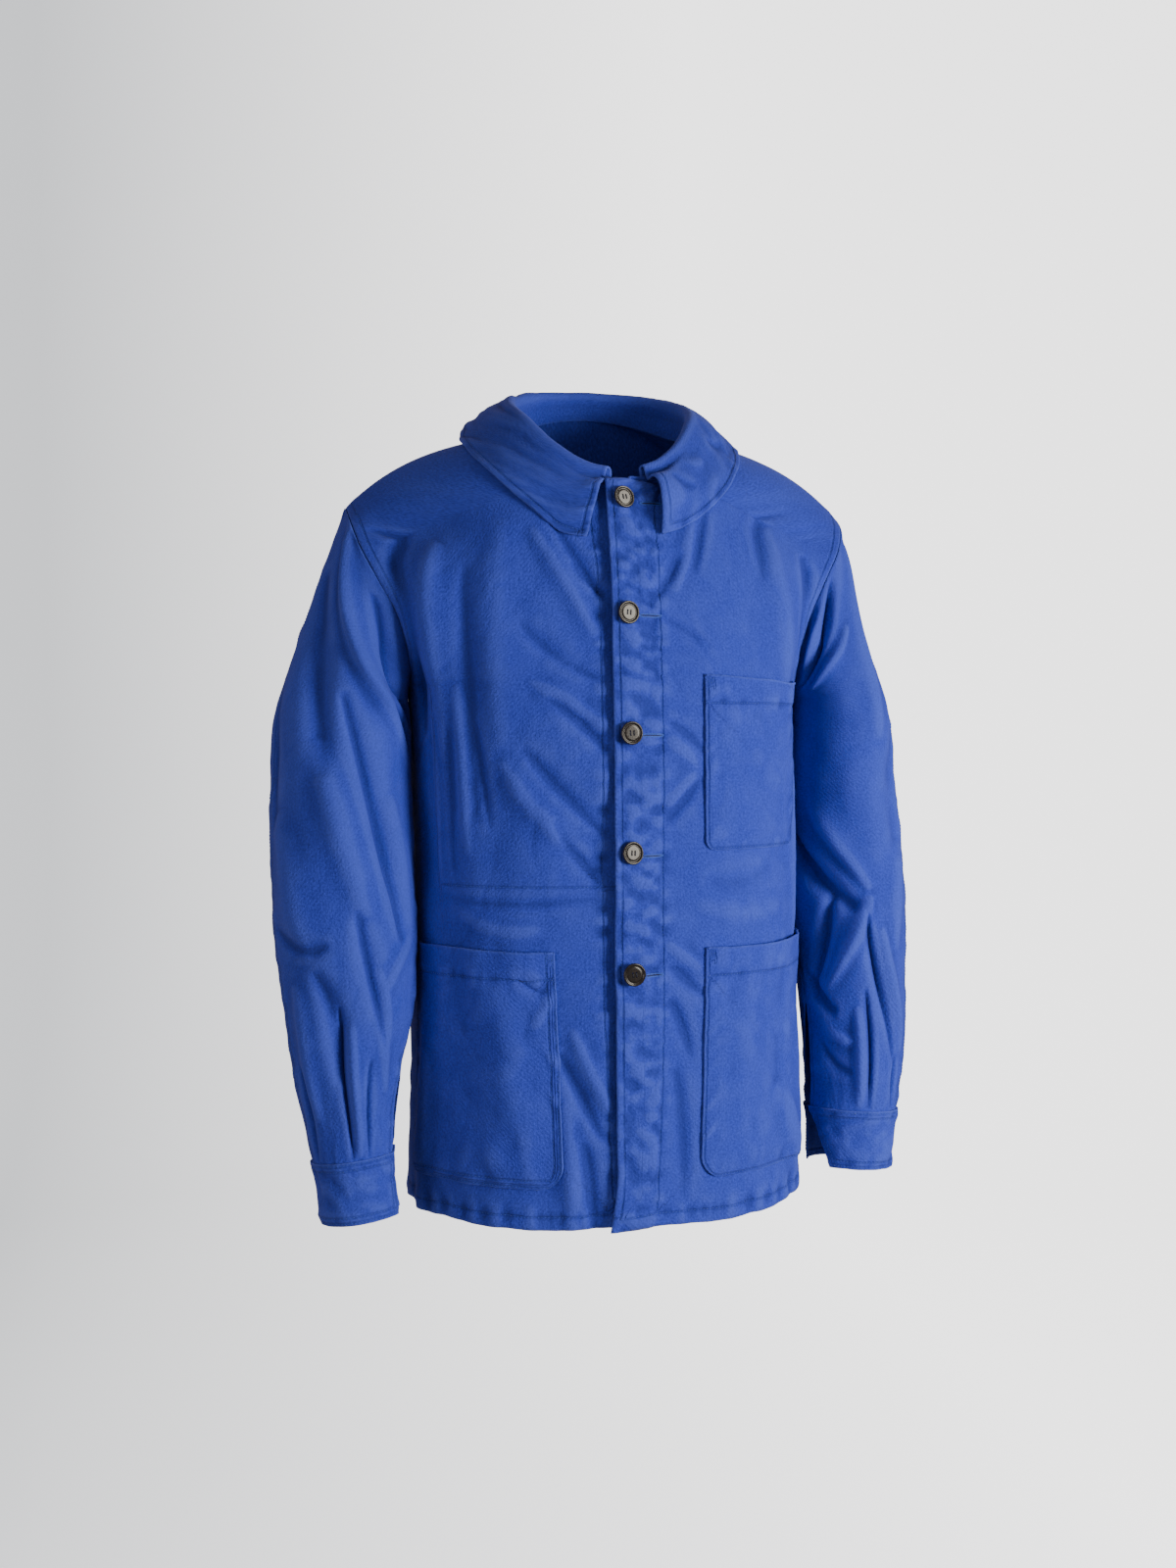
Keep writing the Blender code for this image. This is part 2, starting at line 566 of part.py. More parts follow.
def pocket_grid(name, rows=9, columns=9):
    """A patch pocket on its front: the panel's own points, moved out past both thicknesses."""
    side, in_top, in_bottom, out_top, out_bottom, top, bottom, corner = POCKETS[name]
    grid, spread = [], []
    down = np.linspace(0, 1, rows) ** 0.92
    for share in down:
        height = top + (bottom - top) * share
        left = in_bottom * share + in_top * (1 - share)
        right = out_bottom * share + out_top * (1 - share)
        rounding = max(0.0, 1 - (1 - share) * abs(top - bottom) / corner)
        trim = corner * (1 - math.sqrt(max(0.0, 1 - rounding**2)))
        distances = np.linspace(left + trim, right - trim, columns)
        grid.append(along_row("front", step_at(height), distances, side))
        spread.append(distances)
    grid, spread = np.array(grid), np.array(spread)
    depth = front_lift(side, spread, grid) + POCKET_LIFT
    grid = grid + normals_of(grid, np.array([0.5, -1.0, 0.0])) * depth[:, :, None]
    if side == "right":
        grid[:, :, 0] *= -1
    return grid


def material(name, colour, roughness):
    made = bpy.data.materials.new(name)
    made.use_nodes = True
    shader = made.node_tree.nodes["Principled BSDF"]
    shader.inputs["Base Color"].default_value = (*colour, 1.0)
    shader.inputs["Roughness"].default_value = roughness
    shader.inputs["Metallic"].default_value = 0.0
    return made


def cloth(name, grid, thickness, collection, finish, open_column=None):
    """A sheet through the grid's points, with its thickness to both sides.

    The quads of open_column are left out, and points that share a place there become one.
    """
    rows, columns = grid.shape[:2]
    mesh = bpy.data.meshes.new(name)
    index = np.arange(rows * columns).reshape(rows, columns)
    faces = np.stack([index[:-1, :-1], index[:-1, 1:], index[1:, 1:], index[1:, :-1]], axis=-1).reshape(-1, 4)
    if open_column is not None:
        faces = faces[np.arange(len(faces)) % (columns - 1) != open_column]
    mesh.from_pydata(grid.reshape(-1, 3).tolist(), [], faces.tolist())
    shape = bmesh.new()
    shape.from_mesh(mesh)
    bmesh.ops.remove_doubles(shape, verts=shape.verts, dist=0.000001)
    shape.to_mesh(mesh)
    shape.free()
    sheet = bpy.data.objects.new(name, mesh)
    collection.objects.link(sheet)
    sheet.data.materials.append(finish)
    mesh.shade_smooth()
    solid = sheet.modifiers.new("thickness", "SOLIDIFY")
    solid.thickness = thickness
    solid.offset = 0.0
    solid.use_rim = True
    return sheet


def button(name, place, facing, collection, cutters, finish):
    """A turned four-hole button: a rim, a groove and a raised disc, about its own Z axis."""
    radius = BUTTON_DIAMETER / 2
    profile = [(0.0, 0.0030), (0.62 * radius, 0.0030), (0.68 * radius, 0.0023), (0.78 * radius, 0.0024),
               (0.90 * radius, 0.0034), (0.97 * radius, 0.0030), (radius, 0.0022), (0.94 * radius, 0.0009),
               (0.75 * radius, 0.0), (0.0, 0.0)]
    mesh = bpy.data.meshes.new(name)
    mesh.from_pydata([(x, 0.0, z) for x, z in profile], [(i, i + 1) for i in range(len(profile) - 1)], [])
    made = bpy.data.objects.new(name, mesh)
    collection.objects.link(made)
    made.data.materials.append(finish)
    turn = made.modifiers.new("turned", "SCREW")
    turn.steps = turn.render_steps = 24
    turn.use_merge_vertices = True
    turn.merge_threshold = 0.00001
    turn.use_normal_calculate = True
    hole_mesh = bpy.data.meshes.new(name + "_holes")
    shape = bmesh.new()
    for dx in (-1, 1):
        for dy in (-1, 1):
            made_hole = bmesh.ops.create_cone(shape, cap_ends=True, segments=8, radius1=0.0009, radius2=0.0009,
                                              depth=0.02)
            bmesh.ops.translate(shape, verts=made_hole["verts"], vec=(dx * 0.00165, dy * 0.00165, 0.0))
    shape.to_mesh(hole_mesh)
    shape.free()
    holes = bpy.data.objects.new(name + "_holes", hole_mesh)
    cutters.objects.link(holes)
    holes.hide_render = True
    holes.display_type = "WIRE"
    holes.parent = made
    cut = made.modifiers.new("holes", "BOOLEAN")
    cut.object = holes
    cut.operation = "DIFFERENCE"
    made.location = place
    made.rotation_mode = "QUATERNION"
    made.rotation_quaternion = facing.to_track_quat("Z", "Y")
    return made


def main():
    for old in list(bpy.data.objects):
        bpy.data.objects.remove(old, do_unlink=True)
    jacket = bpy.data.collections.new("chore_jacket")
    cutters = bpy.data.collections.new("cutters")
    bpy.context.scene.collection.children.link(jacket)
    bpy.context.scene.collection.children.link(cutters)
    cutters.hide_render = True
    blue = material("blue cotton moleskin", (0.028, 0.078, 0.39), 0.85)
    horn = material("dark horn plastic", (0.035, 0.026, 0.022), 0.28)

    steps = np.concatenate([np.linspace(0, 1.6, FRONT_ROWS - 6), np.linspace(1.6, 2.0, 7)[1:]])
    fronts = {side: front_panel(side, steps, FRONT_COLUMNS) for side in ("left", "right")}
    for side, grid in fronts.items():
        cloth(f"front_{side}", grid, CLOTH, jacket, blue)
    back = back_panel(steps, BACK_COLUMNS)
    cloth("back", back, CLOTH, jacket, blue, open_column=BACK_COLUMNS // 2 - 1)

    rounds = np.linspace(0, 1, SLEEVE_ROWS)
    for side, mirror in (("left", 1), ("right", -1)):
        turn = np.array([mirror, 1, 1])
        for part in ("upper", "under"):
            grid = sleeve_panel(side, part, rounds, SLEEVE_COLUMNS)
            cloth(f"sleeve_{side}_{part}", grid * turn, CLOTH, jacket, blue)
        cloth(f"cuff_{side}", cuff_panel(side, 25) * turn, FOLDED_CLOTH, jacket, blue)
    tree = body_tree([(fronts["left"], (0.3, -1, 0)), (fronts["right"], (-0.3, -1, 0)), (back, (0, 1, 0))])
    seam = neck_seam(fronts, back, steps, COLLAR_STATIONS)
    cloth("collar", collar_grid(seam, tree), FOLDED_CLOTH, jacket, blue)
    for name in POCKETS:
        cloth(name, pocket_grid(name), CLOTH, jacket, blue)

    for number, height in enumerate(BUTTON_HEIGHTS, 1):
        step = step_at(height)
        here = along_row("front", step, [0.0], "left")[0]
        above = along_row("front", step + 0.01, [0.0], "left")[0]
        slope = above - here
        out = np.array([0.0, -slope[2], slope[1]])
        out /= np.linalg.norm(out)
        lift = float(front_lift("left", np.zeros((1, 1)), here[None, None])[0, 0]) + CLOTH / 2 + 1.5 * SEAM_GAP
        button(f"button_{number}", Vector(here + out * lift), Vector(out), jacket, cutters, horn)


main()
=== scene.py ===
# %% [markdown]
# A worn cotton chore jacket, buttoned, as it hangs on the shoulders that carry it. The lesson builds every
# piece a maker would cut: the back, two fronts, a collar, two-part sleeves, cuffs and patch pockets. Each
# cloth piece is a fine grid of points on one smooth form, so its folds can be laid in as soft ridges
# and troughs, and its stitches can be found again by distance from an edge.

# %% Load the measured frame
import math

import bmesh
import bpy
import numpy as np
from mathutils import Matrix, Vector
from mathutils.bvhtree import BVHTree
from mathutils.kdtree import KDTree


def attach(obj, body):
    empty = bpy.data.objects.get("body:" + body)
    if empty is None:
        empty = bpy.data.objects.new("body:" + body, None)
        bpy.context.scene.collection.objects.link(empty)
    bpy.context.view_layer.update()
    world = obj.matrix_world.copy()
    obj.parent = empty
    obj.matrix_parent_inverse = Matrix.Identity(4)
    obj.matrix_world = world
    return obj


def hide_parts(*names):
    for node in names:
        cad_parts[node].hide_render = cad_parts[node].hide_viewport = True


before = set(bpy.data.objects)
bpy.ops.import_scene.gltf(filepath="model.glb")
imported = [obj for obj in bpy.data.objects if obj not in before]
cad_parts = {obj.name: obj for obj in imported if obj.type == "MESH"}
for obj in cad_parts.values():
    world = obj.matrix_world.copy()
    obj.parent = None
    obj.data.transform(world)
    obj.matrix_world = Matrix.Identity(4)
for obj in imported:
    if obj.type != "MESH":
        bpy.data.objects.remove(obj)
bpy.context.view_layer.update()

# %% [markdown]
# The camera stands a little to the wearer's right, about one and a half metres away, level with the chest.
# A 36 mm lens on a 36 mm high sensor sees what a phone sees when it is held upright. One function makes every
# object of the lesson and puts it in a collection, because Blender shows only what a collection holds.

# %% Camera
def put(name, data, collection):
    made = bpy.data.objects.new(name, data)
    collection.objects.link(made)
    return made


scene = bpy.context.scene
EYE = Vector((-0.2982, -1.5253, -0.3045))
TURN, TILT, ROLL = math.radians(-10.6), math.radians(-1.97), math.radians(-0.24)
ahead = Vector((-math.sin(TURN) * math.cos(TILT), math.cos(TURN) * math.cos(TILT), math.sin(TILT)))
level = ahead.cross(Vector((0, 0, 1))).normalized()
upright = level.cross(ahead)
right = level * math.cos(ROLL) + upright * math.sin(ROLL)
up = upright * math.cos(ROLL) - level * math.sin(ROLL)
camera = put("camera", bpy.data.cameras.new("camera"), scene.collection)
camera.matrix_world = Matrix.Translation(EYE) @ Matrix((right, up, -ahead)).transposed().to_4x4()
camera.data.sensor_fit = "VERTICAL"
camera.data.sensor_height = 36.0
camera.data.lens = 36.0
scene.camera = camera
print("camera at", [round(x, 3) for x in camera.location])

# %% [markdown]
# Cloth garments are easiest to describe by sections. A short table names each section from hem to shoulder,
# and one reader turns a table into a smooth curve, the way a pattern maker joins marks with a French curve.

# %% A smooth curve through the rows of a table
def smooth(rows, at):
    """The first column says where; the others are read there, on a curve with no kinks."""
    rows = np.asarray(list(rows.values()) if isinstance(rows, dict) else rows, float)
    where, values = rows[:, 0], rows[:, 1:]
    slopes = np.gradient(values, where, axis=0)
    at = np.clip(np.atleast_1d(np.asarray(at, float)), where[0], where[-1])
    i = np.clip(np.searchsorted(where, at, "right") - 1, 0, len(where) - 2)
    width = (where[i + 1] - where[i])[:, None]
    s = (at - where[i])[:, None] / width
    return (
        values[i] * (2 * s**3 - 3 * s**2 + 1)
        + slopes[i] * width * (s**3 - 2 * s**2 + s)
        + values[i + 1] * (3 * s**2 - 2 * s**3)
        + slopes[i + 1] * width * (s**3 - s**2)
    )


# %% [markdown]
# The body of the jacket: sizes in metres, with the origin on the centre line at the level of the neck.

# %% Sizes of the body
CLOTH = 0.0011  # brushed cotton, with a little for its nap
DOUBLE_CLOTH = 0.002
GAP = 0.0003
HEM_HEIGHT = -0.755
ARMPIT_HEIGHT = -0.262
FRONT_NECK_HEIGHT = -0.0745
NECK_HALF_WIDTH = 0.088
NECK_SIDE_HEIGHT = -0.016
BACK_NECK = (0.083, 0.016)
FRONT_NECK_REACH = -0.101
OVERLAP = 0.016
CLOSURE = (0.0048, 0.045, 0.0012)
PRESSED_AT_NECK = 0.4
RIGHT_FRONT_TUCK = -0.0004
ARMPIT_STEP, NECK_STEP, SHOULDER_STEP = 1.0, 1.6, 2.0  # rows are counted in steps from the hem up
NECK_ARMHOLE_SHARE = 0.75  # how far up the armhole the first row above the neck ends
BLADE_REACH = 0.124  # how far back the shoulder blades stand
SIDES = {"left": 1, "right": -1}  # the right side is made like the left and then mirrored
BUTTON_HEIGHTS = [-0.0965] + [-0.2005 - 0.1086 * i for i in range(4)]

# step from hem to shoulder, front reach, back reach, half-width, fullness of the curve between them
BODY = {
    "hem": (0.0, -0.151, 0.14, 0.193, 0.66),
    "hip": (0.3, -0.1455, 0.13, 0.188, 0.67),
    "waist": (0.6, -0.1425, 0.122, 0.186, 0.68),
    "chest": (0.9, -0.1415, 0.124, 0.187, 0.68),
    "armpit": (1.0, -0.139, 0.124, 0.189, 0.67),
    "yoke": (1.3, -0.127, 0.118, 0.205, 0.6),
    "neck": (1.6, -0.101, 0.1, 0.24, 0.5),
    "shoulder": (2.0, -0.04, 0.06, 0.247, 0.4),
}
# share of the way up the armhole, half-width, front reach, back reach, height
ARMHOLE = {
    "armpit": (0.0, 0.189, 0.000, 0.000, -0.262),
    "under": (0.15, 0.189, -0.038, 0.042, -0.243),
    "low": (0.35, 0.199, -0.064, 0.068, -0.198),
    "middle": (0.55, 0.218, -0.06, 0.072, -0.16),
    "high": (0.75, 0.235, -0.041, 0.06, -0.128),
    "cap": (0.9, 0.244, -0.014, 0.037, -0.103),
    "point": (1.0, 0.247, 0.012, 0.012, -0.09),
}
ARMHOLE_SHIFT = {"left": -0.006, "right": 0.005}
print("front length:", round(FRONT_NECK_HEIGHT - HEM_HEIGHT, 3), "m")


# %% The neck seam and the armhole seam
def neckline(half, share):
    """The neck seam from the centre (share 0) to the shoulder seam (1)."""
    angle = share * math.pi / 2
    if half == "front":
        reach, low = FRONT_NECK_REACH, FRONT_NECK_HEIGHT
    else:
        reach, low = BACK_NECK
    rise = 1 - abs(math.cos(angle)) ** 1.6
    return np.array([
        NECK_HALF_WIDTH * math.sin(angle),
        reach * math.cos(angle) ** 0.9 if angle < math.pi / 2 - 1e-9 else 0.0,
        low + (NECK_SIDE_HEIGHT - low) * rise,
    ])


def armhole(half, share, side):
    """The armhole seam from the armpit (share 0) to the shoulder point (1)."""
    x, front, back, z = smooth(ARMHOLE, share)[0]
    x += ARMHOLE_SHIFT[side] * math.sin(math.pi * share) ** 2
    return np.array([x, front if half == "front" else back, z])


# %% [markdown]
# Every row of the body is one Bezier curve. Below the armpit it leaves the centre squarely and comes round
# to the side; above it, it bends over to the armhole, and the topmost one is the shoulder seam.

# %% Rows of the body
def row_ends(half, step, side):
    front, back, half_width, fullness = smooth(BODY, step)[0]
    reach = front if half == "front" else back
    top = FRONT_NECK_HEIGHT if half == "front" else BACK_NECK[1]
    if step <= ARMPIT_STEP:
        height = HEM_HEIGHT + (ARMPIT_HEIGHT - HEM_HEIGHT) * step
        return np.array([0.0, reach, height]), np.array([half_width, 0.0, height]), fullness
    if step <= NECK_STEP:
        up = (step - ARMPIT_STEP) / (NECK_STEP - ARMPIT_STEP)
        if half == "back":
            reach = BLADE_REACH + (BACK_NECK[0] - BLADE_REACH) * up**1.8
        start = np.array([0.0, reach, ARMPIT_HEIGHT + (top - ARMPIT_HEIGHT) * up])
        return start, armhole(half, NECK_ARMHOLE_SHARE * up, side), fullness
    up = (step - NECK_STEP) / (SHOULDER_STEP - NECK_STEP)
    share = NECK_ARMHOLE_SHARE + (1 - NECK_ARMHOLE_SHARE) * up
    return neckline(half, up), armhole(half, share, side), fullness


def row_curve(half, step, side, count=161):
    start, end, fullness = row_ends(half, step, side)
    reach = abs(end[1] - start[1])
    sign = -1 if half == "front" else 1
    lean = min(1.0, max(0.0, (step - ARMPIT_STEP) / (NECK_STEP - ARMPIT_STEP)))
    top = max(0.0, (step - NECK_STEP) / (SHOULDER_STEP - NECK_STEP))
    chord = end - start
    belly = sign * 0.006 * (1 - top)
    square_start = start + np.array([fullness * chord[0], 0.0, 0.0])
    square_end = end + np.array([0.0, sign * fullness * reach, 0.0])
    flat_start = start + chord * 0.33 + np.array([0.0, belly, 0.012])
    flat_end = end - chord * 0.33 + np.array([0.0, belly, 0.03])
    corner = end + np.array([-0.35 * lean * chord[0], sign * (1 - 0.55 * lean) * fullness * reach, 0.0])
    one = square_start * (1 - top) + flat_start * top
    two = (square_end * (1 - lean) + corner * lean) * (1 - top) + flat_end * top
    s = np.linspace(0, 1, count)[:, None]
    return start * (1 - s) ** 3 + 3 * one * s * (1 - s) ** 2 + 3 * two * s**2 * (1 - s) + end * s**3


def line_run(line):
    """Length run from the first point of a line to each of its points."""
    return np.concatenate([[0], np.cumsum(np.linalg.norm(np.diff(line, axis=0), axis=1))])


def read_line(line, run, at):
    """The points of a line at these lengths along it."""
    return np.stack([np.interp(at, run, line[:, k]) for k in range(3)], axis=1)


def along_row(half, step, distances, side):
    """Points at these distances from the centre line; a negative distance is past it."""
    points = row_curve(half, step, side)
    found = read_line(points, line_run(points), np.abs(distances))
    found[:, 0] *= np.where(np.asarray(distances) < 0, -1, 1)
    return found


def row_length(half, step, side):
    return float(line_run(row_curve(half, step, side))[-1])


def step_at(height):
    """The steps of the front's rows that start at these heights."""
    marks = (HEM_HEIGHT, ARMPIT_HEIGHT, FRONT_NECK_HEIGHT)
    return np.interp(height, marks, (0.0, ARMPIT_STEP, NECK_STEP))


half_round = sum(row_length(half, BODY["chest"][0], "left") for half in ("front", "back"))
print("half round at the chest:", round(half_round, 3))

# %% [markdown]
# Folds are what make cloth look like cloth. A real one is a soft roll that starts where the cloth is caught,
# such as an armpit or a button, and dies out. Each is a row of a table: three points of its path on the
# piece, its half-width, its depth, how much one flank is steeper, and how sharp its middle is. Simulated
# cloth would give folds in other places, so these are placed where this jacket has them.

# %% Laying a fold along a path
def bend(path, count=28):
    a, b, c = (np.asarray(p, float) for p in path)
    s = np.linspace(0, 1, count)[:, None]
    return a * (1 - s) ** 2 + 2 * (2 * b - (a + c) / 2) * s * (1 - s) + c * s**2


def fold_lift(across, along, folds, narrow=1.0):
    """How far each point stands out. Depths are in mm: positive for a ridge, negative for a trough."""
    lift = np.zeros(np.shape(across))
    for *sizes, skew, sharp in folds.values():
        *path, half_width, depth = np.array(sizes) / 1000
        line = bend(np.reshape(path, (3, 2)))
        reach = 3.2 * half_width
        near = (
            (across > line[:, 0].min() - reach) & (across < line[:, 0].max() + reach)
            & (along > line[:, 1].min() - reach) & (along < line[:, 1].max() + reach)
        )
        if not near.any():
            continue
        px, py = across[near], along[near]
        start, end = line[:-1], line[1:]
        leg = end - start
        length = np.maximum(np.linalg.norm(leg, axis=1), 1e-9)
        dx, dy = px[:, None] - start[:, 0], py[:, None] - start[:, 1]
        t = np.clip((dx * leg[:, 0] + dy * leg[:, 1]) / length**2, 0, 1)
        ox, oy = dx - t * leg[:, 0], dy - t * leg[:, 1]
        away = np.hypot(ox, oy)
        best = away.argmin(axis=1)
        rows = np.arange(len(px))
        side = np.sign(dx[rows, best] * leg[best, 1] - dy[rows, best] * leg[best, 0])
        place = (best + t[rows, best]) / len(leg)
        swell = 0.55 + 0.45 * np.sin(math.pi * np.clip(place, 0.02, 0.98))
        wide = narrow * half_width * (1 + skew * side) * swell
        shape = np.exp(-((away[rows, best] / wide) ** (2.0 - 0.7 * sharp)))
        fade = np.clip(np.sin(math.pi * np.clip(place, 0, 1)), 0, 1) ** 0.6
        lift[near] += depth * shape * fade
    return lift


def rumple(across, along, size, seed):
    """Gentle uneven swells of about this size, from -1 to 1: value noise on a lattice."""
    rng = np.random.default_rng(seed)
    lattice = rng.uniform(-1, 1, (64, 64))
    total = np.zeros(np.shape(across))
    weight = 1.0
    for octave in (1.0, 2.1):
        x, y = across / size * octave + 7.3, along / size * octave + 3.1
        i, j = np.floor(x).astype(int), np.floor(y).astype(int)
        s, t = x - i, y - j
        s, t = s * s * (3 - 2 * s), t * t * (3 - 2 * t)
        at = lambda a, b: lattice[a % 64, b % 64]
        low = at(i, j) * (1 - s) + at(i + 1, j) * s
        high = at(i, j + 1) * (1 - s) + at(i + 1, j + 1) * s
        total += weight * (low * (1 - t) + high * t)
        weight *= 0.45
    return total / 1.45


def crumple(across, along, size, seed):
    """Small sharp creases in patches, from about -1 in a crease to 0 beside it."""
    drift = 0.45 * size * rumple(across, along, size * 1.7, seed + 1)
    crease = np.exp(-np.abs(rumple(across + drift, along - drift, size, seed)) / 0.17)
    patches = np.clip(0.5 + 0.9 * rumple(across, along, size * 3.0, seed + 2), 0, 1)
    return -crease * patches
# %% [markdown]
# The two fronts and the back share one builder. Rows run round the body and columns run from the centre to
# the side. The wearer's left front lies on top, so it stands a little further off at its edge; its facing is
# turned in and sewn down, which makes a stiffer strip that puckers between its two lines of stitching.

# %% Folds of the fronts and the back
# in mm: across 1, height 1, across 2, height 2, across 3, height 3, half-width, depth; then skew, sharpness
RIGHT_FRONT_FOLDS = {
    "armhole hollow": (205, -112, 224, -185, 210, -310, 15, -8, 0.2, 0.2),
    "beside the hollow": (176, -130, 186, -200, 176, -335, 17, 5.5, 0, 0),
    "chest roll": (112, -110, 122, -210, 116, -330, 20, 3, 0, 0),
    "chest dip": (148, -150, 150, -260, 142, -390, 13, -3.4, 0.1, 0.1),
    "collar drag": (66, -112, 48, -146, 20, -188, 7, -3.6, 0.3, 0.6),
    "collar roll": (86, -120, 58, -168, 30, -222, 10, 3, 0, 0.2),
    "to the second button": (50, -152, 40, -166, 20, -182, 5, -2, 0.2, 0.5),
    "long drag": (100, -205, 70, -235, 22, -262, 9, -2.2, 0.2, 0.3),
    "to the third button": (76, -274, 50, -294, 20, -326, 7, -3.2, 0.2, 0.5),
    "roll above it": (92, -260, 60, -278, 24, -304, 8, 2.6, 0, 0.2),
    "under the third button": (98, -320, 72, -352, 22, -402, 9, -3.8, 0.3, 0.5),
    "roll under it": (118, -330, 88, -376, 36, -420, 12, 3.4, 0, 0.1),
    "to the fourth button": (72, -386, 54, -412, 30, -444, 7, -3, 0.2, 0.5),
    "upright dip": (144, -296, 137, -345, 129, -396, 6, -2.2, 0.2, 0.4),
    "upright roll": (162, -262, 158, -340, 150, -420, 9, 2.8, 0, 0.2),
    "second upright dip": (174, -300, 172, -360, 166, -440, 6, -2, 0.2, 0.4),
    "inner pocket side": (195, -252, 190, -350, 183, -446, 3.5, 1.6, 0, 0.3),
    "under the inner pocket": (185, -456, 110, -462, 26, -456, 6, -1.4, 0, 0.3),
    "over the pocket": (165, -470, 120, -486, 80, -482, 9, 2, 0, 0.2),
    "pocket roll": (128, -520, 110, -610, 92, -722, 18, 3, 0.1, 0),
    "pocket hollow": (168, -530, 152, -620, 138, -725, 20, -2, 0, 0),
    "pocket crease": (108, -527, 92, -537, 76, -546, 4, -2.4, 0.2, 0.6),
    "pocket corner drag": (92, -575, 80, -556, 70, -536, 6, 1.8, 0, 0.3),
    "low diagonal": (68, -596, 50, -634, 28, -676, 7, -4.2, 0.3, 0.6),
    "low roll": (56, -572, 40, -612, 20, -652, 9, 3.4, 0, 0.2),
    "skirt dip": (46, -676, 40, -714, 36, -770, 9, -3.6, 0.1, 0.2),
    "skirt roll": (62, -640, 58, -700, 56, -770, 10, 3, 0, 0.1),
    "side flare": (205, -600, 215, -680, 222, -780, 16, 4, 0, 0),
}
LEFT_FRONT_FOLDS = {
    "armhole hollow": (198, -136, 208, -200, 214, -300, 13, -7.2, 0.2, 0.2),
    "chest roll": (150, -112, 158, -190, 176, -290, 18, 4.2, 0, 0),
    "shoulder dip": (143, -92, 141, -126, 136, -168, 10, -2.8, 0.1, 0.2),
    "collar drag": (81, -100, 73, -128, 64, -162, 6, -2.6, 0.2, 0.4),
    "collar roll": (64, -112, 56, -142, 44, -180, 8, 2.6, 0, 0.2),
    "second drag": (56, -140, 42, -162, 26, -188, 6, -2.6, 0.2, 0.5),
    "from the second button": (32, -205, 50, -212, 78, -232, 6, -1.4, 0.2, 0.4),
    "from the third button": (27, -296, 48, -304, 69, -324, 5, -2, 0.2, 0.5),
    "roll below it": (28, -312, 46, -322, 64, -340, 7, 1.8, 0, 0.2),
    "to the fourth button": (29, -390, 46, -372, 67, -348, 6, -2.6, 0.2, 0.5),
    "roll over it": (31, -376, 44, -360, 62, -342, 6, 1.8, 0, 0.2),
    "across the waist": (70, -440, 110, -446, 150, -430, 14, -1.8, 0.1, 0),
    "waist roll": (60, -462, 110, -474, 165, -468, 14, 1.6, 0, 0),
    "from the fifth button": (34, -518, 50, -530, 68, -548, 6, -3, 0.2, 0.5),
    "roll over the fifth": (32, -500, 48, -510, 66, -524, 6, 2.2, 0, 0.2),
    "under the fifth": (34, -548, 46, -570, 56, -606, 7, -2.6, 0.2, 0.4),
    "skirt dip": (40, -610, 46, -660, 48, -735, 9, -2.2, 0.1, 0.2),
    "pocket roll": (120, -525, 112, -600, 104, -700, 18, 2.2, 0.1, 0),
    "pocket hollow": (160, -520, 158, -610, 150, -700, 18, -2.2, 0, 0),
    "side roll": (192, -330, 200, -420, 202, -520, 17, 4, 0, 0),
    "low side": (150, -640, 180, -690, 205, -740, 18, 4.6, 0, 0),
}
BACK_FOLDS = {
    "left blade": (112, -110, 150, -210, 168, -350, 18, -6.5, 0.2, 0.2),
    "left blade roll": (85, -120, 118, -230, 130, -370, 20, 4, 0, 0),
    "right blade": (-118, -115, -150, -200, -164, -330, 18, -6.5, 0.2, 0.2),
    "right blade roll": (-88, -130, -112, -240, -122, -360, 20, 4, 0, 0),
    "under the collar": (-60, -70, 0, -82, 58, -68, 10, -2.2, 0, 0.2),
    "left waist": (66, -380, 46, -510, 40, -680, 20, 5, 0.1, 0),
    "left waist dip": (100, -420, 86, -540, 82, -700, 16, -4.5, 0.1, 0.1),
    "right waist": (-94, -400, -84, -540, -80, -720, 18, 5.2, 0.1, 0),
    "right waist dip": (-130, -430, -120, -560, -122, -720, 15, -4.5, 0.1, 0.1),
    "middle": (-6, -330, -16, -470, -22, -640, 17, -5, 0.1, 0.1),
    "left drag": (170, -300, 110, -340, 50, -352, 10, -2.6, 0.2, 0.3),
    "right drag": (-172, -290, -120, -335, -60, -350, 11, -2.6, 0.2, 0.3),
    "seat dip": (10, -600, 16, -670, 14, -780, 14, -3.6, 0, 0.1),
    "left flare": (200, -560, 206, -680, 206, -860, 52, 30, 0, 0),
    "left side": (212, -270, 214, -450, 212, -660, 26, 7, 0, 0),
    "right side": (-212, -270, -214, -450, -212, -660, 26, 7, 0, 0),
}
print(len(RIGHT_FRONT_FOLDS) + len(LEFT_FRONT_FOLDS) + len(BACK_FOLDS), "folds on the body")


# %% Helpers for a grid of points
def normals_of(grid, outward):
    normals = np.cross(np.gradient(grid, axis=0), np.gradient(grid, axis=1))
    normals /= np.maximum(np.linalg.norm(normals, axis=2, keepdims=True), 1e-12)
    middle = tuple(n // 2 for n in grid.shape[:2])
    return -normals if normals[middle] @ outward < 0 else normals


def run_along(grid, axis):
    """Length run from the first point of each row (axis 1) or column (axis 0)."""
    legs = np.linalg.norm(np.diff(grid, axis=axis), axis=2)
    start = np.zeros_like(np.take(legs, [0], axis=axis))
    return np.concatenate([start, np.cumsum(legs, axis=axis)], axis=axis)


def runs(grid):
    """Length run across each row, and along each column."""
    return run_along(grid, 1), run_along(grid, 0)


def to_ends(run, axis):
    """Distance from the nearer end of each row (axis 1) or column (axis 0)."""
    return np.minimum(run, np.take(run, [-1], axis=axis) - run)


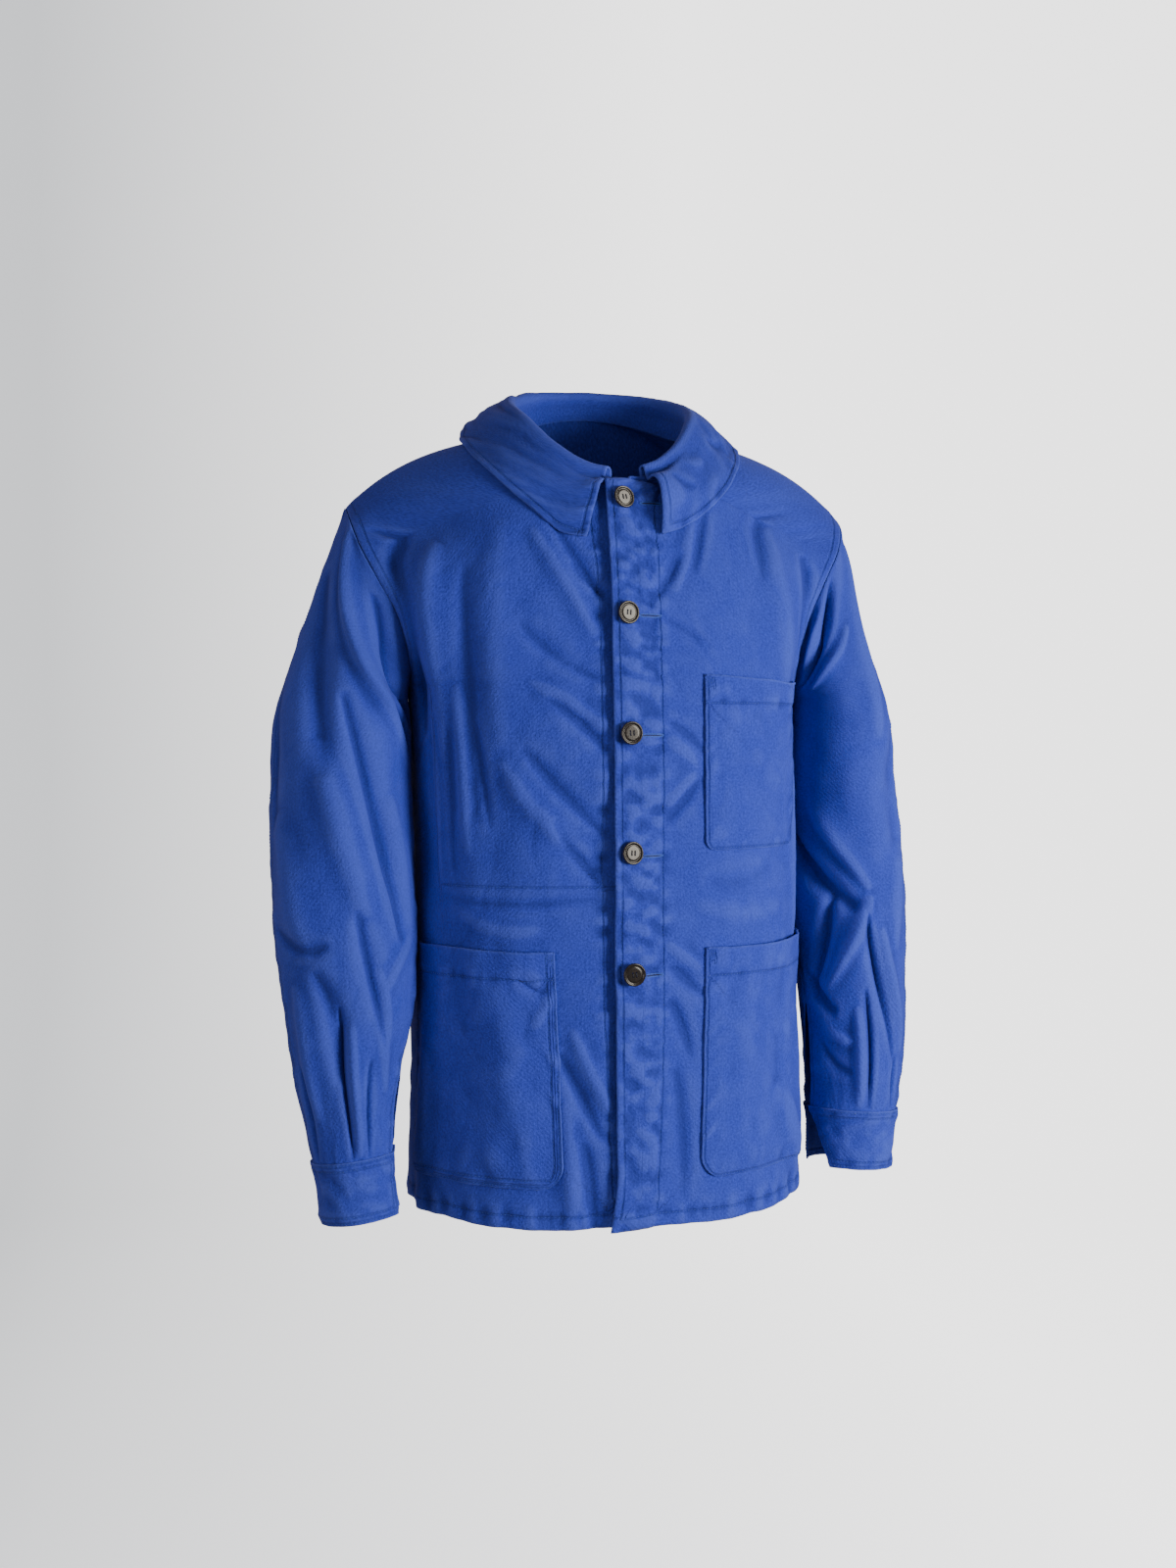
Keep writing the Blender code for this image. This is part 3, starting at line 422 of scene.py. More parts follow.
def to_edges(grid):
    """Distance of each point from the nearest side of its grid."""
    across, along = runs(grid)
    return np.minimum(to_ends(across, 1), to_ends(along, 0))


def soft_step(x, low, high):
    t = np.clip((x - low) / (high - low), 0, 1)
    return t * t * (3 - 2 * t)


def bell(x, width):
    """1 where x is 0, dying out on both sides over this width."""
    return np.exp(-((x / width) ** 2))


# %% [markdown]
# Sewn cloth is never smooth beside a seam: the thread draws it up, so it puckers every few millimetres. The
# hem and the side seams of all three body pieces pucker in the same way.

# %% Puckers beside a line of stitches
HEM_STITCH = 0.0115  # height of the hem's stitches


def puckers(distance, run, size, width, seed):
    """Ripples that run square to a seam and die out over this width, from -1 to 1."""
    ripple = rumple(run, distance * 0.35, size, seed)
    return ripple * bell(distance, width)


def hem_and_side_puckers(spread, height, along, to_side, depth, seed):
    lift = depth * puckers(along - HEM_STITCH, spread, 0.011, 0.01, seed)
    lift -= 0.0006 * bell(along - HEM_STITCH, 0.0035)
    return lift + 0.0012 * puckers(to_side - 0.008, height, 0.013, 0.008, seed + 1)


# %% [markdown]
# Where the rows change from going round the neck to ending at it, the form would have a kink. Moving each
# point again and again towards the middle of its two neighbours rounds it off, like planing an edge.

# %% Easing a bend
def ease_bend(grid, share, times=90):
    """Rounds a bend from row to row, where share is 1; the cloth stays put where it is 0."""
    grid = grid.copy()
    for _ in range(times):
        between = (grid[:-2] + grid[2:]) / 2
        grid[1:-1] += 0.5 * share[1:-1, :, None] * (between - grid[1:-1])
    return grid


# %% The fronts
BODY_ROWS, NECK_ROWS = 224, 40
FRONT_COLUMNS = 112
STEPS = np.concatenate([np.linspace(0, NECK_STEP, BODY_ROWS),
                        np.linspace(NECK_STEP, SHOULDER_STEP, NECK_ROWS)[1:]])
PLACKET_STITCH = 0.0058  # from the edge of the left front
FACING_STITCH = {"left": 0.029, "right": 0.0262}  # from the centre line
FOLD_STRENGTH = 1.4


def facing_line(side, height):
    """The facing's stitches run a little nearer the centre towards the hem."""
    low = np.clip((-0.55 - height) / 0.2, 0, 1)
    high = np.clip((height + 0.17) / 0.05, 0, 1)
    return FACING_STITCH[side] - 0.009 * low**1.3 + (0.004 * high if side == "right" else 0.0)


def front_lift(side, spread, grid):
    """How far a front stands out of the smooth form."""
    height = grid[:, :, 2]
    if side == "right":
        lift = RIGHT_FRONT_TUCK + FOLD_STRENGTH * fold_lift(spread, height, RIGHT_FRONT_FOLDS, 0.84)
    else:
        edge_lift, width, rest = CLOSURE
        closure = bell(np.clip(grid[:, :, 0] + OVERLAP, 0, None), width)
        closure = closure * (1 - PRESSED_AT_NECK * np.clip(1 - (FRONT_NECK_HEIGHT - height) / 0.05, 0, 1))
        lift = edge_lift * closure + rest + FOLD_STRENGTH * fold_lift(spread, height, LEFT_FRONT_FOLDS, 0.88)
    slanted = height + 0.7 * spread
    seed = 11 if side == "left" else 12
    lift += 0.0028 * rumple(spread, height * 0.55, 0.045, seed)
    lift += 0.0008 * crumple(spread, slanted * 0.6, 0.03, seed + 2)
    return lift + 0.0005 * crumple(spread * 0.8, slanted, 0.016, seed + 4)


def front_panel(side):
    """Points of one front and, for each, its distance from the centre line."""
    grid, spread = [], []
    for step in STEPS:
        first = -OVERLAP if step <= NECK_STEP else GAP
        last = row_length("front", step, side) - 1.5 * GAP
        distances = np.linspace(first, last, FRONT_COLUMNS)
        grid.append(along_row("front", step, distances, side))
        spread.append(distances)
    grid, spread = np.array(grid), np.array(spread)
    across = run_along(grid, 1)
    by_shoulder = soft_step(STEPS, 1.2, 1.45) * (1 - soft_step(STEPS, 1.88, 1.99))
    off_sides = soft_step(across, 0.002, 0.03) * soft_step(across[:, -1:] - across, 0.002, 0.03)
    grid = ease_bend(grid, by_shoulder[:, None] * off_sides)
    height = grid[:, :, 2]
    across, along = runs(grid)
    to_side = across[:, -1:] - across
    lift = front_lift(side, spread, grid) * soft_step(to_side, 0.003, 0.026)
    lift = lift * soft_step(SHOULDER_STEP - STEPS, 0.0, 0.45)[:, None]
    from_facing = spread - facing_line(side, height)
    lift += 0.0022 * puckers(from_facing, height, 0.011, 0.009, 21)
    lift += hem_and_side_puckers(spread, height, along, to_side, 0.0026, 22)
    from_edge = spread + OVERLAP
    if side == "left":
        strip = soft_step(spread, -0.013, -0.006) * (1 - soft_step(from_facing, -0.006, 0.001))
        slant = rumple(spread * 0.7 + height * 0.5, height, 0.013, 24)
        crinkle = 0.004 * slant + 0.0016 * rumple(spread, height, 0.0075, 25)
        crinkle += 0.0008 * crumple(spread + 0.5 * height, height, 0.012, 35)
        lift += strip * np.maximum(crinkle, -0.0018)
        lift += 0.001 * bell(from_edge, 0.005)
        lift += 0.0024 * puckers(from_edge - PLACKET_STITCH, height, 0.012, 0.006, 26)
        lift -= 0.0005 * bell(from_facing, 0.0032)
    grid = grid + normals_of(grid, np.array([0.3, -1.0, 0.2])) * lift[:, :, None]
    if side == "left":
        low = np.clip(1 - along / 0.06, 0, 1) ** 2 * np.clip(1 - from_edge / 0.05, 0, 1)
        grid[:, :, 0] -= 0.0075 * low
        grid[:, :, 1] -= 0.0045 * low
        grid[:, :, 0] += 0.0006 * rumple(height, spread * 0, 0.05, 27) * bell(from_edge, 0.01)
    grid[:, :, 2] += 0.003 * rumple(spread, along * 0, 0.05, 28) * np.clip(1 - along / 0.05, 0, 1)
    grid[-1, :, 1] -= 1.5 * GAP
    if side == "right":
        grid[:, :, 0] *= -1
    return grid, spread


FRONTS = {side: front_panel(side) for side in SIDES}
print("front rows and columns:", FRONTS["left"][0].shape[:2])

# %% [markdown]
# In a felled seam one piece reaches under the next. An edge that only touched its neighbour would let light
# through, so the outer column of points is moved on and a little inward.

# %% Tucking an edge under its neighbour
SEAM_TUCK, SEAM_TUCK_DEPTH = 0.005, 0.0022  # how far an edge reaches under, and how deep


def tuck_edge(grid, normals, edge, beside, share):
    """Moves the edge column on and under the next piece, where share is 1, so no light gets through."""
    forward = grid[:, edge] - grid[:, beside]
    forward = forward / np.linalg.norm(forward, axis=1, keepdims=True)
    grid[:, edge] += share[:, None] * (SEAM_TUCK * forward - SEAM_TUCK_DEPTH * normals[:, edge])


# %% [markdown]
# The back is one piece from side seam to side seam. Above the neck its rows split in two round the neck
# hole, so its middle column is stored twice and the quads between the two are left out.

# %% The back
BACK_HALF = 76


def back_panel():
    grid, spread = [], []
    for step in STEPS:
        row, run = [], []
        for side, sign in (("right", -1), ("left", 1)):
            distances = np.linspace(0, 1, BACK_HALF) * (row_length("back", step, side) - 1.5 * GAP)
            distances = distances[::sign]
            row.append(along_row("back", step, distances, side) * np.array([sign, 1, 1]))
            run.append(sign * distances)
        grid.append(np.concatenate(row))
        spread.append(np.concatenate(run))
    grid, spread = np.array(grid), np.array(spread)
    height = grid[:, :, 2]
    along = run_along(grid, 0)
    to_side = np.abs(spread[:, -1:]) - np.abs(spread)
    lift = fold_lift(spread, height, BACK_FOLDS) + 0.003 * rumple(spread, height * 0.5, 0.05, 31)
    lift += 0.0007 * crumple(spread, height * 0.7 + spread * 0.4, 0.032, 36)
    lift += 0.0004 * crumple(spread * 0.8, height - spread * 0.5, 0.017, 37)
    lift = lift * soft_step(to_side, 0.003, 0.026) * np.clip((SHOULDER_STEP - STEPS) / 0.3, 0, 1)[:, None]
    lift += hem_and_side_puckers(spread, height, along, to_side, 0.0024, 32)
    normals = normals_of(grid, np.array([0.0, 1.0, 0.2]))
    grid = grid + normals * lift[:, :, None]
    for edge, beside in ((0, 1), (-1, -2)):
        below_arm = 1 - soft_step(height[:, edge], ARMPIT_HEIGHT - 0.03, ARMPIT_HEIGHT - 0.008)
        tuck_edge(grid, normals, edge, beside, below_arm)
    grid[:, :, 2] += 0.0016 * rumple(spread, along * 0, 0.06, 34) * np.clip(1 - along / 0.05, 0, 1)
    grid[-1, :, 1] += 1.5 * GAP
    below_neck = STEPS <= NECK_STEP + 1e-9
    middle = (grid[below_neck, BACK_HALF - 1] + grid[below_neck, BACK_HALF]) / 2
    grid[below_neck, BACK_HALF - 1] = grid[below_neck, BACK_HALF] = middle
    return grid, spread


BACK = back_panel()
print("back rows and columns:", BACK[0].shape[:2])
# %% [markdown]
# A grid of points becomes a cloth piece in one place. It gets a map of its own flat cut, in metres, for the
# weave; the distance to its edges, for wear and a painted highlight; the distance to its nearest line of
# stitches, for the little groove that the thread pulls and the shade painted in it; and how far each point
# lies under its neighbours, for painted shade in creases and a painted highlight on ridges. Solidify then
# gives it the thickness of the cloth.

# %% Reading between the points of a grid
jacket = bpy.data.collections.new("chore jacket")
scene.collection.children.link(jacket)
PIECES = {}  # name: the object
SEWN = {}  # name: (points, outward normals, half thickness, lines of stitches)


def at_grid(values, rows, columns):
    """The grid's values at fractional rows and columns."""
    rows = np.clip(np.asarray(rows, float), 0, values.shape[0] - 1.001)
    columns = np.clip(np.asarray(columns, float), 0, values.shape[1] - 1.001)
    i, k = rows.astype(int), columns.astype(int)
    s, t = rows - i, columns - k
    if values.ndim == 3:
        s, t = s[..., None], t[..., None]
    low = values[i, k] * (1 - t) + values[i, k + 1] * t
    high = values[i + 1, k] * (1 - t) + values[i + 1, k + 1] * t
    return low * (1 - s) + high * s


def line_distance(grid, normals, lines):
    """Signed distance of each point to the nearest line of stitches, at most 50 mm."""
    found = np.full(grid.shape[0] * grid.shape[1], 0.05)
    if not lines:
        return found
    points, across = [], []
    for rows, columns in lines:
        line, out = at_grid(grid, rows, columns), at_grid(normals, rows, columns)
        points.append(line)
        across.append(np.cross(np.gradient(line, axis=0), out))
    points, across = np.concatenate(points), np.concatenate(across)
    tree = KDTree(len(points))
    for i, point in enumerate(points):
        tree.insert(point, i)
    tree.balance()
    for n, point in enumerate(grid.reshape(-1, 3)):
        _, i, away = tree.find(point)
        found[n] = math.copysign(min(away, 0.05), float((point - points[i]) @ across[i]))
    return found


# %% [markdown]
# The mesh is written straight from the grid. A vertex group tells Solidify where the cloth is doubled, as at
# the hem and the front facings, because two plies are thicker than one.

# %% A cloth piece from its grid
def weigh(piece, double):
    """A vertex group that is 1 where the cloth is doubled and CLOTH / DOUBLE_CLOTH where it is single."""
    group = piece.vertex_groups.new(name="double")
    single = CLOTH / DOUBLE_CLOTH
    level = np.round(single + (1 - single) * np.clip(double.ravel(), 0, 1), 2)
    for value in np.unique(level):
        group.add(np.flatnonzero(level == value).tolist(), float(value), "REPLACE")


HOLLOW_REACH = 0.009  # metres over which a crease is told from a ridge


def running_mean(grid, axis, count):
    """Each point's mean with so many neighbours on both sides."""
    first, last = np.take(grid, [0], axis), np.take(grid, [-1], axis)
    padded = np.concatenate([np.zeros_like(first)] + [first] * count + [grid] + [last] * count, axis)
    total = np.cumsum(padded, axis)
    ends = np.arange(grid.shape[axis])
    return (np.take(total, ends + 2 * count + 1, axis) - np.take(total, ends, axis)) / (2 * count + 1)


def hollows(grid, normals):
    """How far each point lies under its neighbours, in mm: positive in a crease, negative on a ridge."""
    mean = grid
    for axis in (0, 1):
        step = np.median(np.linalg.norm(np.diff(grid, axis=axis), axis=2))
        mean = running_mean(mean, axis, max(1, int(round(HOLLOW_REACH / step))))
    return 1000 * ((mean - grid) * normals).sum(axis=2)


def cloth(name, grid, flat, outward, thickness=CLOTH, lines=(), double=None, open_column=None):
    """A sheet through the grid's points. flat holds each point's place on the flat cut, in metres."""
    rows, columns = grid.shape[:2]
    index = np.arange(rows * columns).reshape(rows, columns)
    quads = np.stack([index[:-1, :-1], index[:-1, 1:], index[1:, 1:], index[1:, :-1]], axis=-1).reshape(-1, 4)
    if open_column is not None:
        quads = quads[np.arange(len(quads)) % (columns - 1) != open_column]
    normals = normals_of(grid, np.array(outward, float))
    a, b, c, _ = grid.reshape(-1, 3)[quads[len(quads) // 2]]
    if np.cross(b - a, c - b) @ normals.reshape(-1, 3)[quads[len(quads) // 2][0]] < 0:
        quads = quads[:, ::-1]
    mesh = bpy.data.meshes.new(name)
    mesh.from_pydata(grid.reshape(-1, 3).tolist(), [], quads.tolist())
    corners = np.empty(len(mesh.loops), np.int32)
    mesh.loops.foreach_get("vertex_index", corners)
    flat_map = mesh.uv_layers.new(name="flat cut")
    flat_map.data.foreach_set("uv", flat.reshape(-1, 2)[corners].astype(np.float32).ravel())
    attributes = {
        "edge": to_edges(grid), "seam": line_distance(grid, normals, lines), "hollow": hollows(grid, normals),
    }
    for title, values in attributes.items():
        layer = mesh.attributes.new(title, "FLOAT", "POINT")
        layer.data.foreach_set("value", np.ravel(values).astype(np.float32))
    mesh.shade_smooth()
    piece = put(name, mesh, jacket)
    solid = piece.modifiers.new("thickness of the cloth", "SOLIDIFY")
    solid.offset = 0.0
    solid.thickness = thickness
    half = np.full(grid.shape[:2], thickness / 2)
    if double is not None:
        weigh(piece, double)
        solid.thickness = DOUBLE_CLOTH
        solid.vertex_group = "double"
        half = (CLOTH + (DOUBLE_CLOTH - CLOTH) * np.clip(double, 0, 1)) / 2
    if open_column is not None:
        joined = bmesh.new()
        joined.from_mesh(mesh)
        bmesh.ops.remove_doubles(joined, verts=joined.verts, dist=0.000002)
        joined.to_mesh(mesh)
        joined.free()
    PIECES[name] = piece
    SEWN[name] = (grid, normals, half, list(lines))
    return piece


# %% [markdown]
# Lines of stitches follow the piece's own rows and columns: so far from the centre, so far above the hem.

# %% Finding lines on a panel
def columns_at(spread, rows, distances):
    """Fractional columns where the rows reach these distances, or all of them the one distance."""
    nearest = np.clip(np.round(rows), 0, len(spread) - 1).astype(int)
    distances = np.broadcast_to(distances, nearest.shape)
    count = np.arange(spread.shape[1])
    return np.array([np.interp(d, spread[i], count) for i, d in zip(nearest, distances)])


def rows_at(heights):
    return np.interp(step_at(heights), STEPS, np.arange(len(STEPS)))


def panel_line(spread, distances, heights):
    rows = rows_at(heights)
    return rows, columns_at(spread, rows, distances)


def upright_line(spread, distance_at, low, high, pitch=0.003):
    heights = np.arange(low, high, pitch)
    return panel_line(spread, [float(distance_at(z)) for z in heights], heights)


def level_line(spread, height_at, start, end, pitch=0.003):
    distances = np.arange(start, end, pitch)
    return panel_line(spread, distances, [float(height_at(d)) for d in distances])


def beside_last_column(grid, distance, low_row, high_row):
    """A line that keeps this distance from the last column, such as beside an armhole."""
    across = run_along(grid, 1)
    rows = np.arange(low_row, high_row)
    return rows.astype(float), columns_at(across, rows, across[rows, -1] - distance)


def laid_flat(grid, spread):
    """Length run up each column of a body piece, its flat cut, and 1 where its hem is doubled."""
    along = run_along(grid, 0)
    flat = np.stack([spread, np.broadcast_to(along[:, -1:], spread.shape)], axis=-1)
    return along, flat, 1 - soft_step(along, HEM_STITCH, HEM_STITCH + 0.003)


ARMPIT_ROW = int(np.searchsorted(STEPS, ARMPIT_STEP))
print("row at the armpit:", ARMPIT_ROW, "of", len(STEPS))

# %% [markdown]
# The left front carries the placket: one line of stitches beside the edge and one that holds the facing. The
# right front shows its own facing line and the outline of a pocket sewn inside the chest.

# %% Sewing the fronts
FELL = 0.008  # a felled seam's second line of stitches lies this far from the seam
SEAM_STITCH = 0.0022  # and its first line this far
INNER_POCKET = (-0.256, -0.446, 0.19, 0.026)  # its top, bottom, outer and inner side


def front_lines(side, grid, spread):
    low = HEM_HEIGHT + HEM_STITCH
    end = row_length("front", 0, side) - 0.003
    start = -OVERLAP + (PLACKET_STITCH if side == "left" else 0.003)
    lines = [
        upright_line(spread, lambda z: facing_line(side, z), low, -0.092),
        level_line(spread, lambda d: low, start, end),
        beside_last_column(grid, FELL, ARMPIT_ROW + 2, len(STEPS) - 2),
        beside_last_column(grid, SEAM_STITCH, 3, ARMPIT_ROW - 2),
    ]
    if side == "left":
        lines.append(upright_line(
            spread, lambda z: -OVERLAP + PLACKET_STITCH, low, FRONT_NECK_HEIGHT - 0.006))
    else:
        top, bottom, outer, inner = INNER_POCKET
        lines.append(level_line(spread, lambda d: bottom - 0.002 * (0.2 - d), inner, outer - 0.007))
        lines.append(upright_line(spread, lambda z: outer + 0.02 * (z + 0.35), bottom, top))
    return lines


for side, (grid, spread) in FRONTS.items():
    _, flat, hem = laid_flat(grid, spread)
    facing = 1 - soft_step(spread - facing_line(side, grid[:, :, 2]), -0.001, 0.002)
    cloth(f"front_{side}", grid, flat, (0.3 * SIDES[side], -1.0, 0.2), lines=front_lines(side, grid, spread),
          double=np.maximum(hem, facing))
print("fronts:", {name: len(piece.data.polygons) for name, piece in PIECES.items()})

# %% [markdown]
# The back has only its hem, its felled side seams and the two lines beside each armhole.

# %% Sewing the back
grid, spread = BACK
along, flat, hem = laid_flat(grid, spread)
hem_row = float(np.interp(HEM_STITCH, along[:, BACK_HALF // 2], np.arange(len(along))))
back_lines = [(np.full(180, hem_row), np.linspace(1, grid.shape[1] - 2, 180))]
for distance, low_row, high_row in ((FELL, ARMPIT_ROW + 2, len(STEPS) - 2), (SEAM_STITCH, 3, ARMPIT_ROW - 2),
                                    (FELL, 3, ARMPIT_ROW - 2)):
    rows, columns = beside_last_column(grid, distance, low_row, high_row)
    back_lines.append((rows, columns))
    rows, columns = beside_last_column(grid[:, ::-1], distance, low_row, high_row)
    back_lines.append((rows, grid.shape[1] - 1 - columns))
cloth("back", grid, flat, (0.0, 1.0, 0.2), lines=back_lines, double=hem, open_column=BACK_HALF - 1)
print("back quads:", len(PIECES["back"].data.polygons))
# %% [markdown]
# A patch pocket is a flat piece laid on the front and sewn down on three sides, so it copies the front's own
# surface, a little further out, and takes all its folds. Its edges are pressed, its mouth hangs a little
# open, and the hem of the mouth makes a band that catches the light.

# %% The patch pockets
# side, inner top, inner bottom, outer top, outer bottom, top height, bottom height, corner radius, band,
# gape of the mouth
POCKETS = {
    "pocket_chest": ("left", 0.07, 0.07, 0.19, 0.188, -0.2545, -0.415, 0.01, 0.024, 0.0022),
    "pocket_lower_left": ("left", 0.0705, 0.0625, 0.245, 0.248, -0.5035, -0.715, 0.022, 0.026, 0.0028),
    "pocket_lower_right": ("right", 0.0705, 0.0625, 0.229, 0.234, -0.5035, -0.718, 0.022, 0.026, 0.0024),
}
POCKET_STITCH, SECOND_ROUND = 0.0022, 0.0062  # inset of the stitches, and of the second round from them
POCKET_SIZE = {"pocket_chest": (78, 62), "pocket_lower_left": (96, 86), "pocket_lower_right": (96, 82)}


def on_panel(side, distances, heights):
    """Points and outward normals of a front's own surface."""
    grid, normals = SEWN[f"front_{side}"][:2]
    spread = FRONTS[side][1]
    shape = np.shape(distances)
    rows = rows_at(np.ravel(heights))
    columns = columns_at(spread, rows, np.ravel(distances))
    place = at_grid(grid, rows, columns).reshape(*shape, 3)
    out = at_grid(normals, rows, columns).reshape(*shape, 3)
    return place, out / np.linalg.norm(out, axis=-1, keepdims=True)


def pocket(name):
    side, in_top, in_bottom, out_top, out_bottom, top, bottom, corner, band, gape = POCKETS[name]
    rows, columns = POCKET_SIZE[name]
    seed = list(POCKETS).index(name)
    share = 1 - (1 - np.linspace(0, 1, rows)) ** 1.25
    height = top + (bottom - top) * share
    rounding = np.clip(1 - (1 - share) * abs(top - bottom) / corner, 0, 1)
    trim = corner * (1 - np.sqrt(1 - rounding**2))
    inner = in_top + (in_bottom - in_top) * share + trim
    outer = out_top + (out_bottom - out_top) * share - trim
    distances = inner[:, None] + (outer - inner)[:, None] * np.linspace(0, 1, columns)
    heights = np.broadcast_to(height[:, None], distances.shape).copy()
    heights += 0.001 * np.sin(distances / 0.031 + seed) * np.clip(1 - share / 0.2, 0, 1)[:, None]
    place, out = on_panel(side, distances, heights)
    across, along = runs(place)
    to_sewn = np.minimum(to_ends(across, 1), along[-1:] - along)
    middle = np.sin(math.pi * np.linspace(0, 1, columns)) ** 0.7
    lift = (CLOTH + DOUBLE_CLOTH) / 2 + 0.0005 + 0.0016 * soft_step(to_sewn, POCKET_STITCH, 0.022)
    lift += gape * middle * bell(along, 0.03)
    lift += 0.0016 * puckers(to_sewn - 0.006, across + along, 0.012, 0.007, 41 + seed)
    lift += 0.0016 * puckers(along - band, across, 0.01, 0.008, 44 + seed)
    lift -= 0.0005 * bell(along - band, 0.003)
    lift += 0.0024 * rumple(across, along, 0.04, 47 + seed) * soft_step(to_sewn, 0.002, 0.03)
    creases = 1 + crumple(across, along + 0.4 * across, 0.024, 54 + seed)
    lift += 0.0005 * creases * soft_step(to_sewn, 0.001, 0.012)
    grid = place + out * np.maximum(lift, (CLOTH + DOUBLE_CLOTH) / 2 + GAP)[:, :, None]
    return grid, across, along, to_sewn


# %% [markdown]
# The pocket's stitches run down one side, round the bottom and up the other, and a second line holds the hem
# of the mouth. The lower right pocket was sewn twice round, and every mouth ends in a small block of tacking.

# %% Sewing the pockets
def around_pocket(grid, inset, start_row=0):
    """The line that keeps this far inside the two sides and the bottom."""
    across, along = runs(grid)
    last = grid.shape[1] - 1
    row_end = np.interp(inset, (along[-1, last // 2] - along[:, last // 2])[::-1], np.arange(len(grid))[::-1])
    rows = np.arange(start_row, row_end, 0.6)
    whole = rows.astype(int)
    near = columns_at(across, whole, inset)
    far = columns_at(across, whole, across[whole, -1] - inset)
    bottom = np.arange(near[-1], far[-1], 0.6)
    return (np.concatenate([rows, np.full(len(bottom), row_end), rows[::-1]]),
            np.concatenate([near, bottom, far[::-1]]))


def block(row, first, last):
    """A short to-and-fro line at a corner of the mouth."""
    down = np.linspace(row, row + 2.4, 8)
    rows = np.concatenate([down, down[::-1]] * 2 + [down])
    return rows, np.linspace(first, last, len(rows))


for name, (side, *_, band, _) in POCKETS.items():
    grid, across, along, to_sewn = pocket(name)
    band_row = float(np.interp(band, along[:, along.shape[1] // 2], np.arange(len(along))))
    last = grid.shape[1] - 1
    lines = [around_pocket(grid, POCKET_STITCH, 1),
             (np.full(140, band_row), np.linspace(1, last - 1, 140)),
             block(1, 1.0, 4.0), block(1, last - 4.0, last - 1.0)]
    if name == "pocket_lower_right":
        lines.append(around_pocket(grid, POCKET_STITCH + SECOND_ROUND, 1))
    flat = np.stack([across, along], axis=-1)
    mouth = 1 - soft_step(along, band, band + 0.003)
    turned = 1 - soft_step(to_sewn, 0.008, 0.01)
    cloth(name, grid, flat, (0.5 * SIDES[side], -1.0, 0.0), lines=lines, double=np.maximum(mouth, turned))
print("pockets:", [name for name in PIECES if name.startswith("pocket")])
# %% [markdown]
# The collar is a band that stands up from the neck seam, rolls over and falls back on the shoulders. A few
# sections describe it: where its fold runs round the neck and where its outer edge lies. Each section is
# kept clear of the body under it, and then the coarse shape is read at many more points.

# %% Sizes of the collar
COLLAR_CLOTH = 0.0018
COLLAR_STARTS = {"left": 0.0205, "right": -0.0083}  # where its ends sit, across
COLLAR_AIR = 0.0007  # least space between its fall and the body
FOLD_RING = {"front": -0.098, "back": 0.079, "side": 0.0845}
EDGE_RING = {"front": -0.127, "back": 0.115, "side": 0.136}
# degrees from the front, height of the fold, height of the outer edge
COLLAR_HEIGHTS = {
    "front": (0.0, -0.0645, -0.13),
    "point": (20.0, -0.0565, -0.1215),
    "front side": (40.0, -0.037, -0.096),
    "before the side": (65.0, -0.006, -0.057),
    "side": (90.0, 0.014, -0.026),
    "behind the side": (120.0, 0.03, 0.003),
    "back side": (150.0, 0.04, -0.001),
    "back": (180.0, 0.044, -0.008),
}
# share of the fall from the crown to the edge, how far it puffs up
FALL = ((0.18, 0.003), (0.38, 0.004), (0.6, 0.0035), (0.8, 0.002), (1.0, 0.0))
COLLAR_STATIONS, COLLAR_ROWS, COLLAR_COLUMNS = 34, 214, 46
COLLAR_STITCH = 0.0062  # from its edge
HALF_BOTH = (DOUBLE_CLOTH + COLLAR_CLOTH) / 2  # from the middle of the body's cloth to the collar's


def neck_seam(stations):
    """The collar's seam, from its left front end round the back to the right one, on the panels' edges."""
    rows = STEPS >= NECK_STEP - 1e-9
    back = BACK[0]
    line = np.concatenate([
        FRONTS["left"][0][rows, 0], back[rows, BACK_HALF][::-1],
        back[rows, BACK_HALF - 1][1:], FRONTS["right"][0][rows, 0][::-1],
    ])
    run = line_run(line)
    start = np.interp(COLLAR_STARTS["left"], line[:14, 0], run[:14])
    end = np.interp(COLLAR_STARTS["right"], line[-14:, 0], run[-14:])
    return read_line(line, run, np.linspace(start, end, stations))


def ring_round_neck(sizes, degrees):
    angle = np.radians(degrees)
    reach = np.where(np.cos(angle) > 0, -sizes["front"], sizes["back"])
    return np.stack([sizes["side"] * np.sin(angle), -reach * np.cos(angle)], axis=1)


# %% [markdown]
# A search tree finds the nearest point of the body to any point in space. A point of the collar that would
# come too close to it, or lie inside it, is moved straight out.

# %% Keeping the collar clear of the body
def shifted(faces, count):
    """The same faces, for points that come after so many others."""
    return [[int(corner) + count for corner in face] for face in faces]


def body_tree():
    """A search tree of the fronts and the back, with every face turned outward."""
    points, faces = [], []
    for name in ("front_left", "front_right", "back"):
        mesh = PIECES[name].data
        faces += shifted([face.vertices for face in mesh.polygons], len(points))
        points += [vertex.co.copy() for vertex in mesh.vertices]
    return BVHTree.FromPolygons(points, faces)


def clear_of(tree, point, clearance):
    place, normal, _, _ = tree.find_nearest(Vector(point))
    place, normal = np.array(place), np.array(normal)
    short = clearance - (point - place) @ normal
    return point + normal * short if short > 0 else point


def laid_over(grid, tree, clearance, first_column):
    """The coarse grid with the middle of each quad, from this column on, cleared of the body too."""
    rows, columns = grid.shape[:2]
    for _ in range(5):
        for i in range(rows - 1):
            for k in range(first_column, columns - 1):
                middle = grid[i:i + 2, k:k + 2].reshape(4, 3).mean(axis=0)
                grid[i:i + 2, k:k + 2] += clear_of(tree, middle, clearance) - middle
    return grid


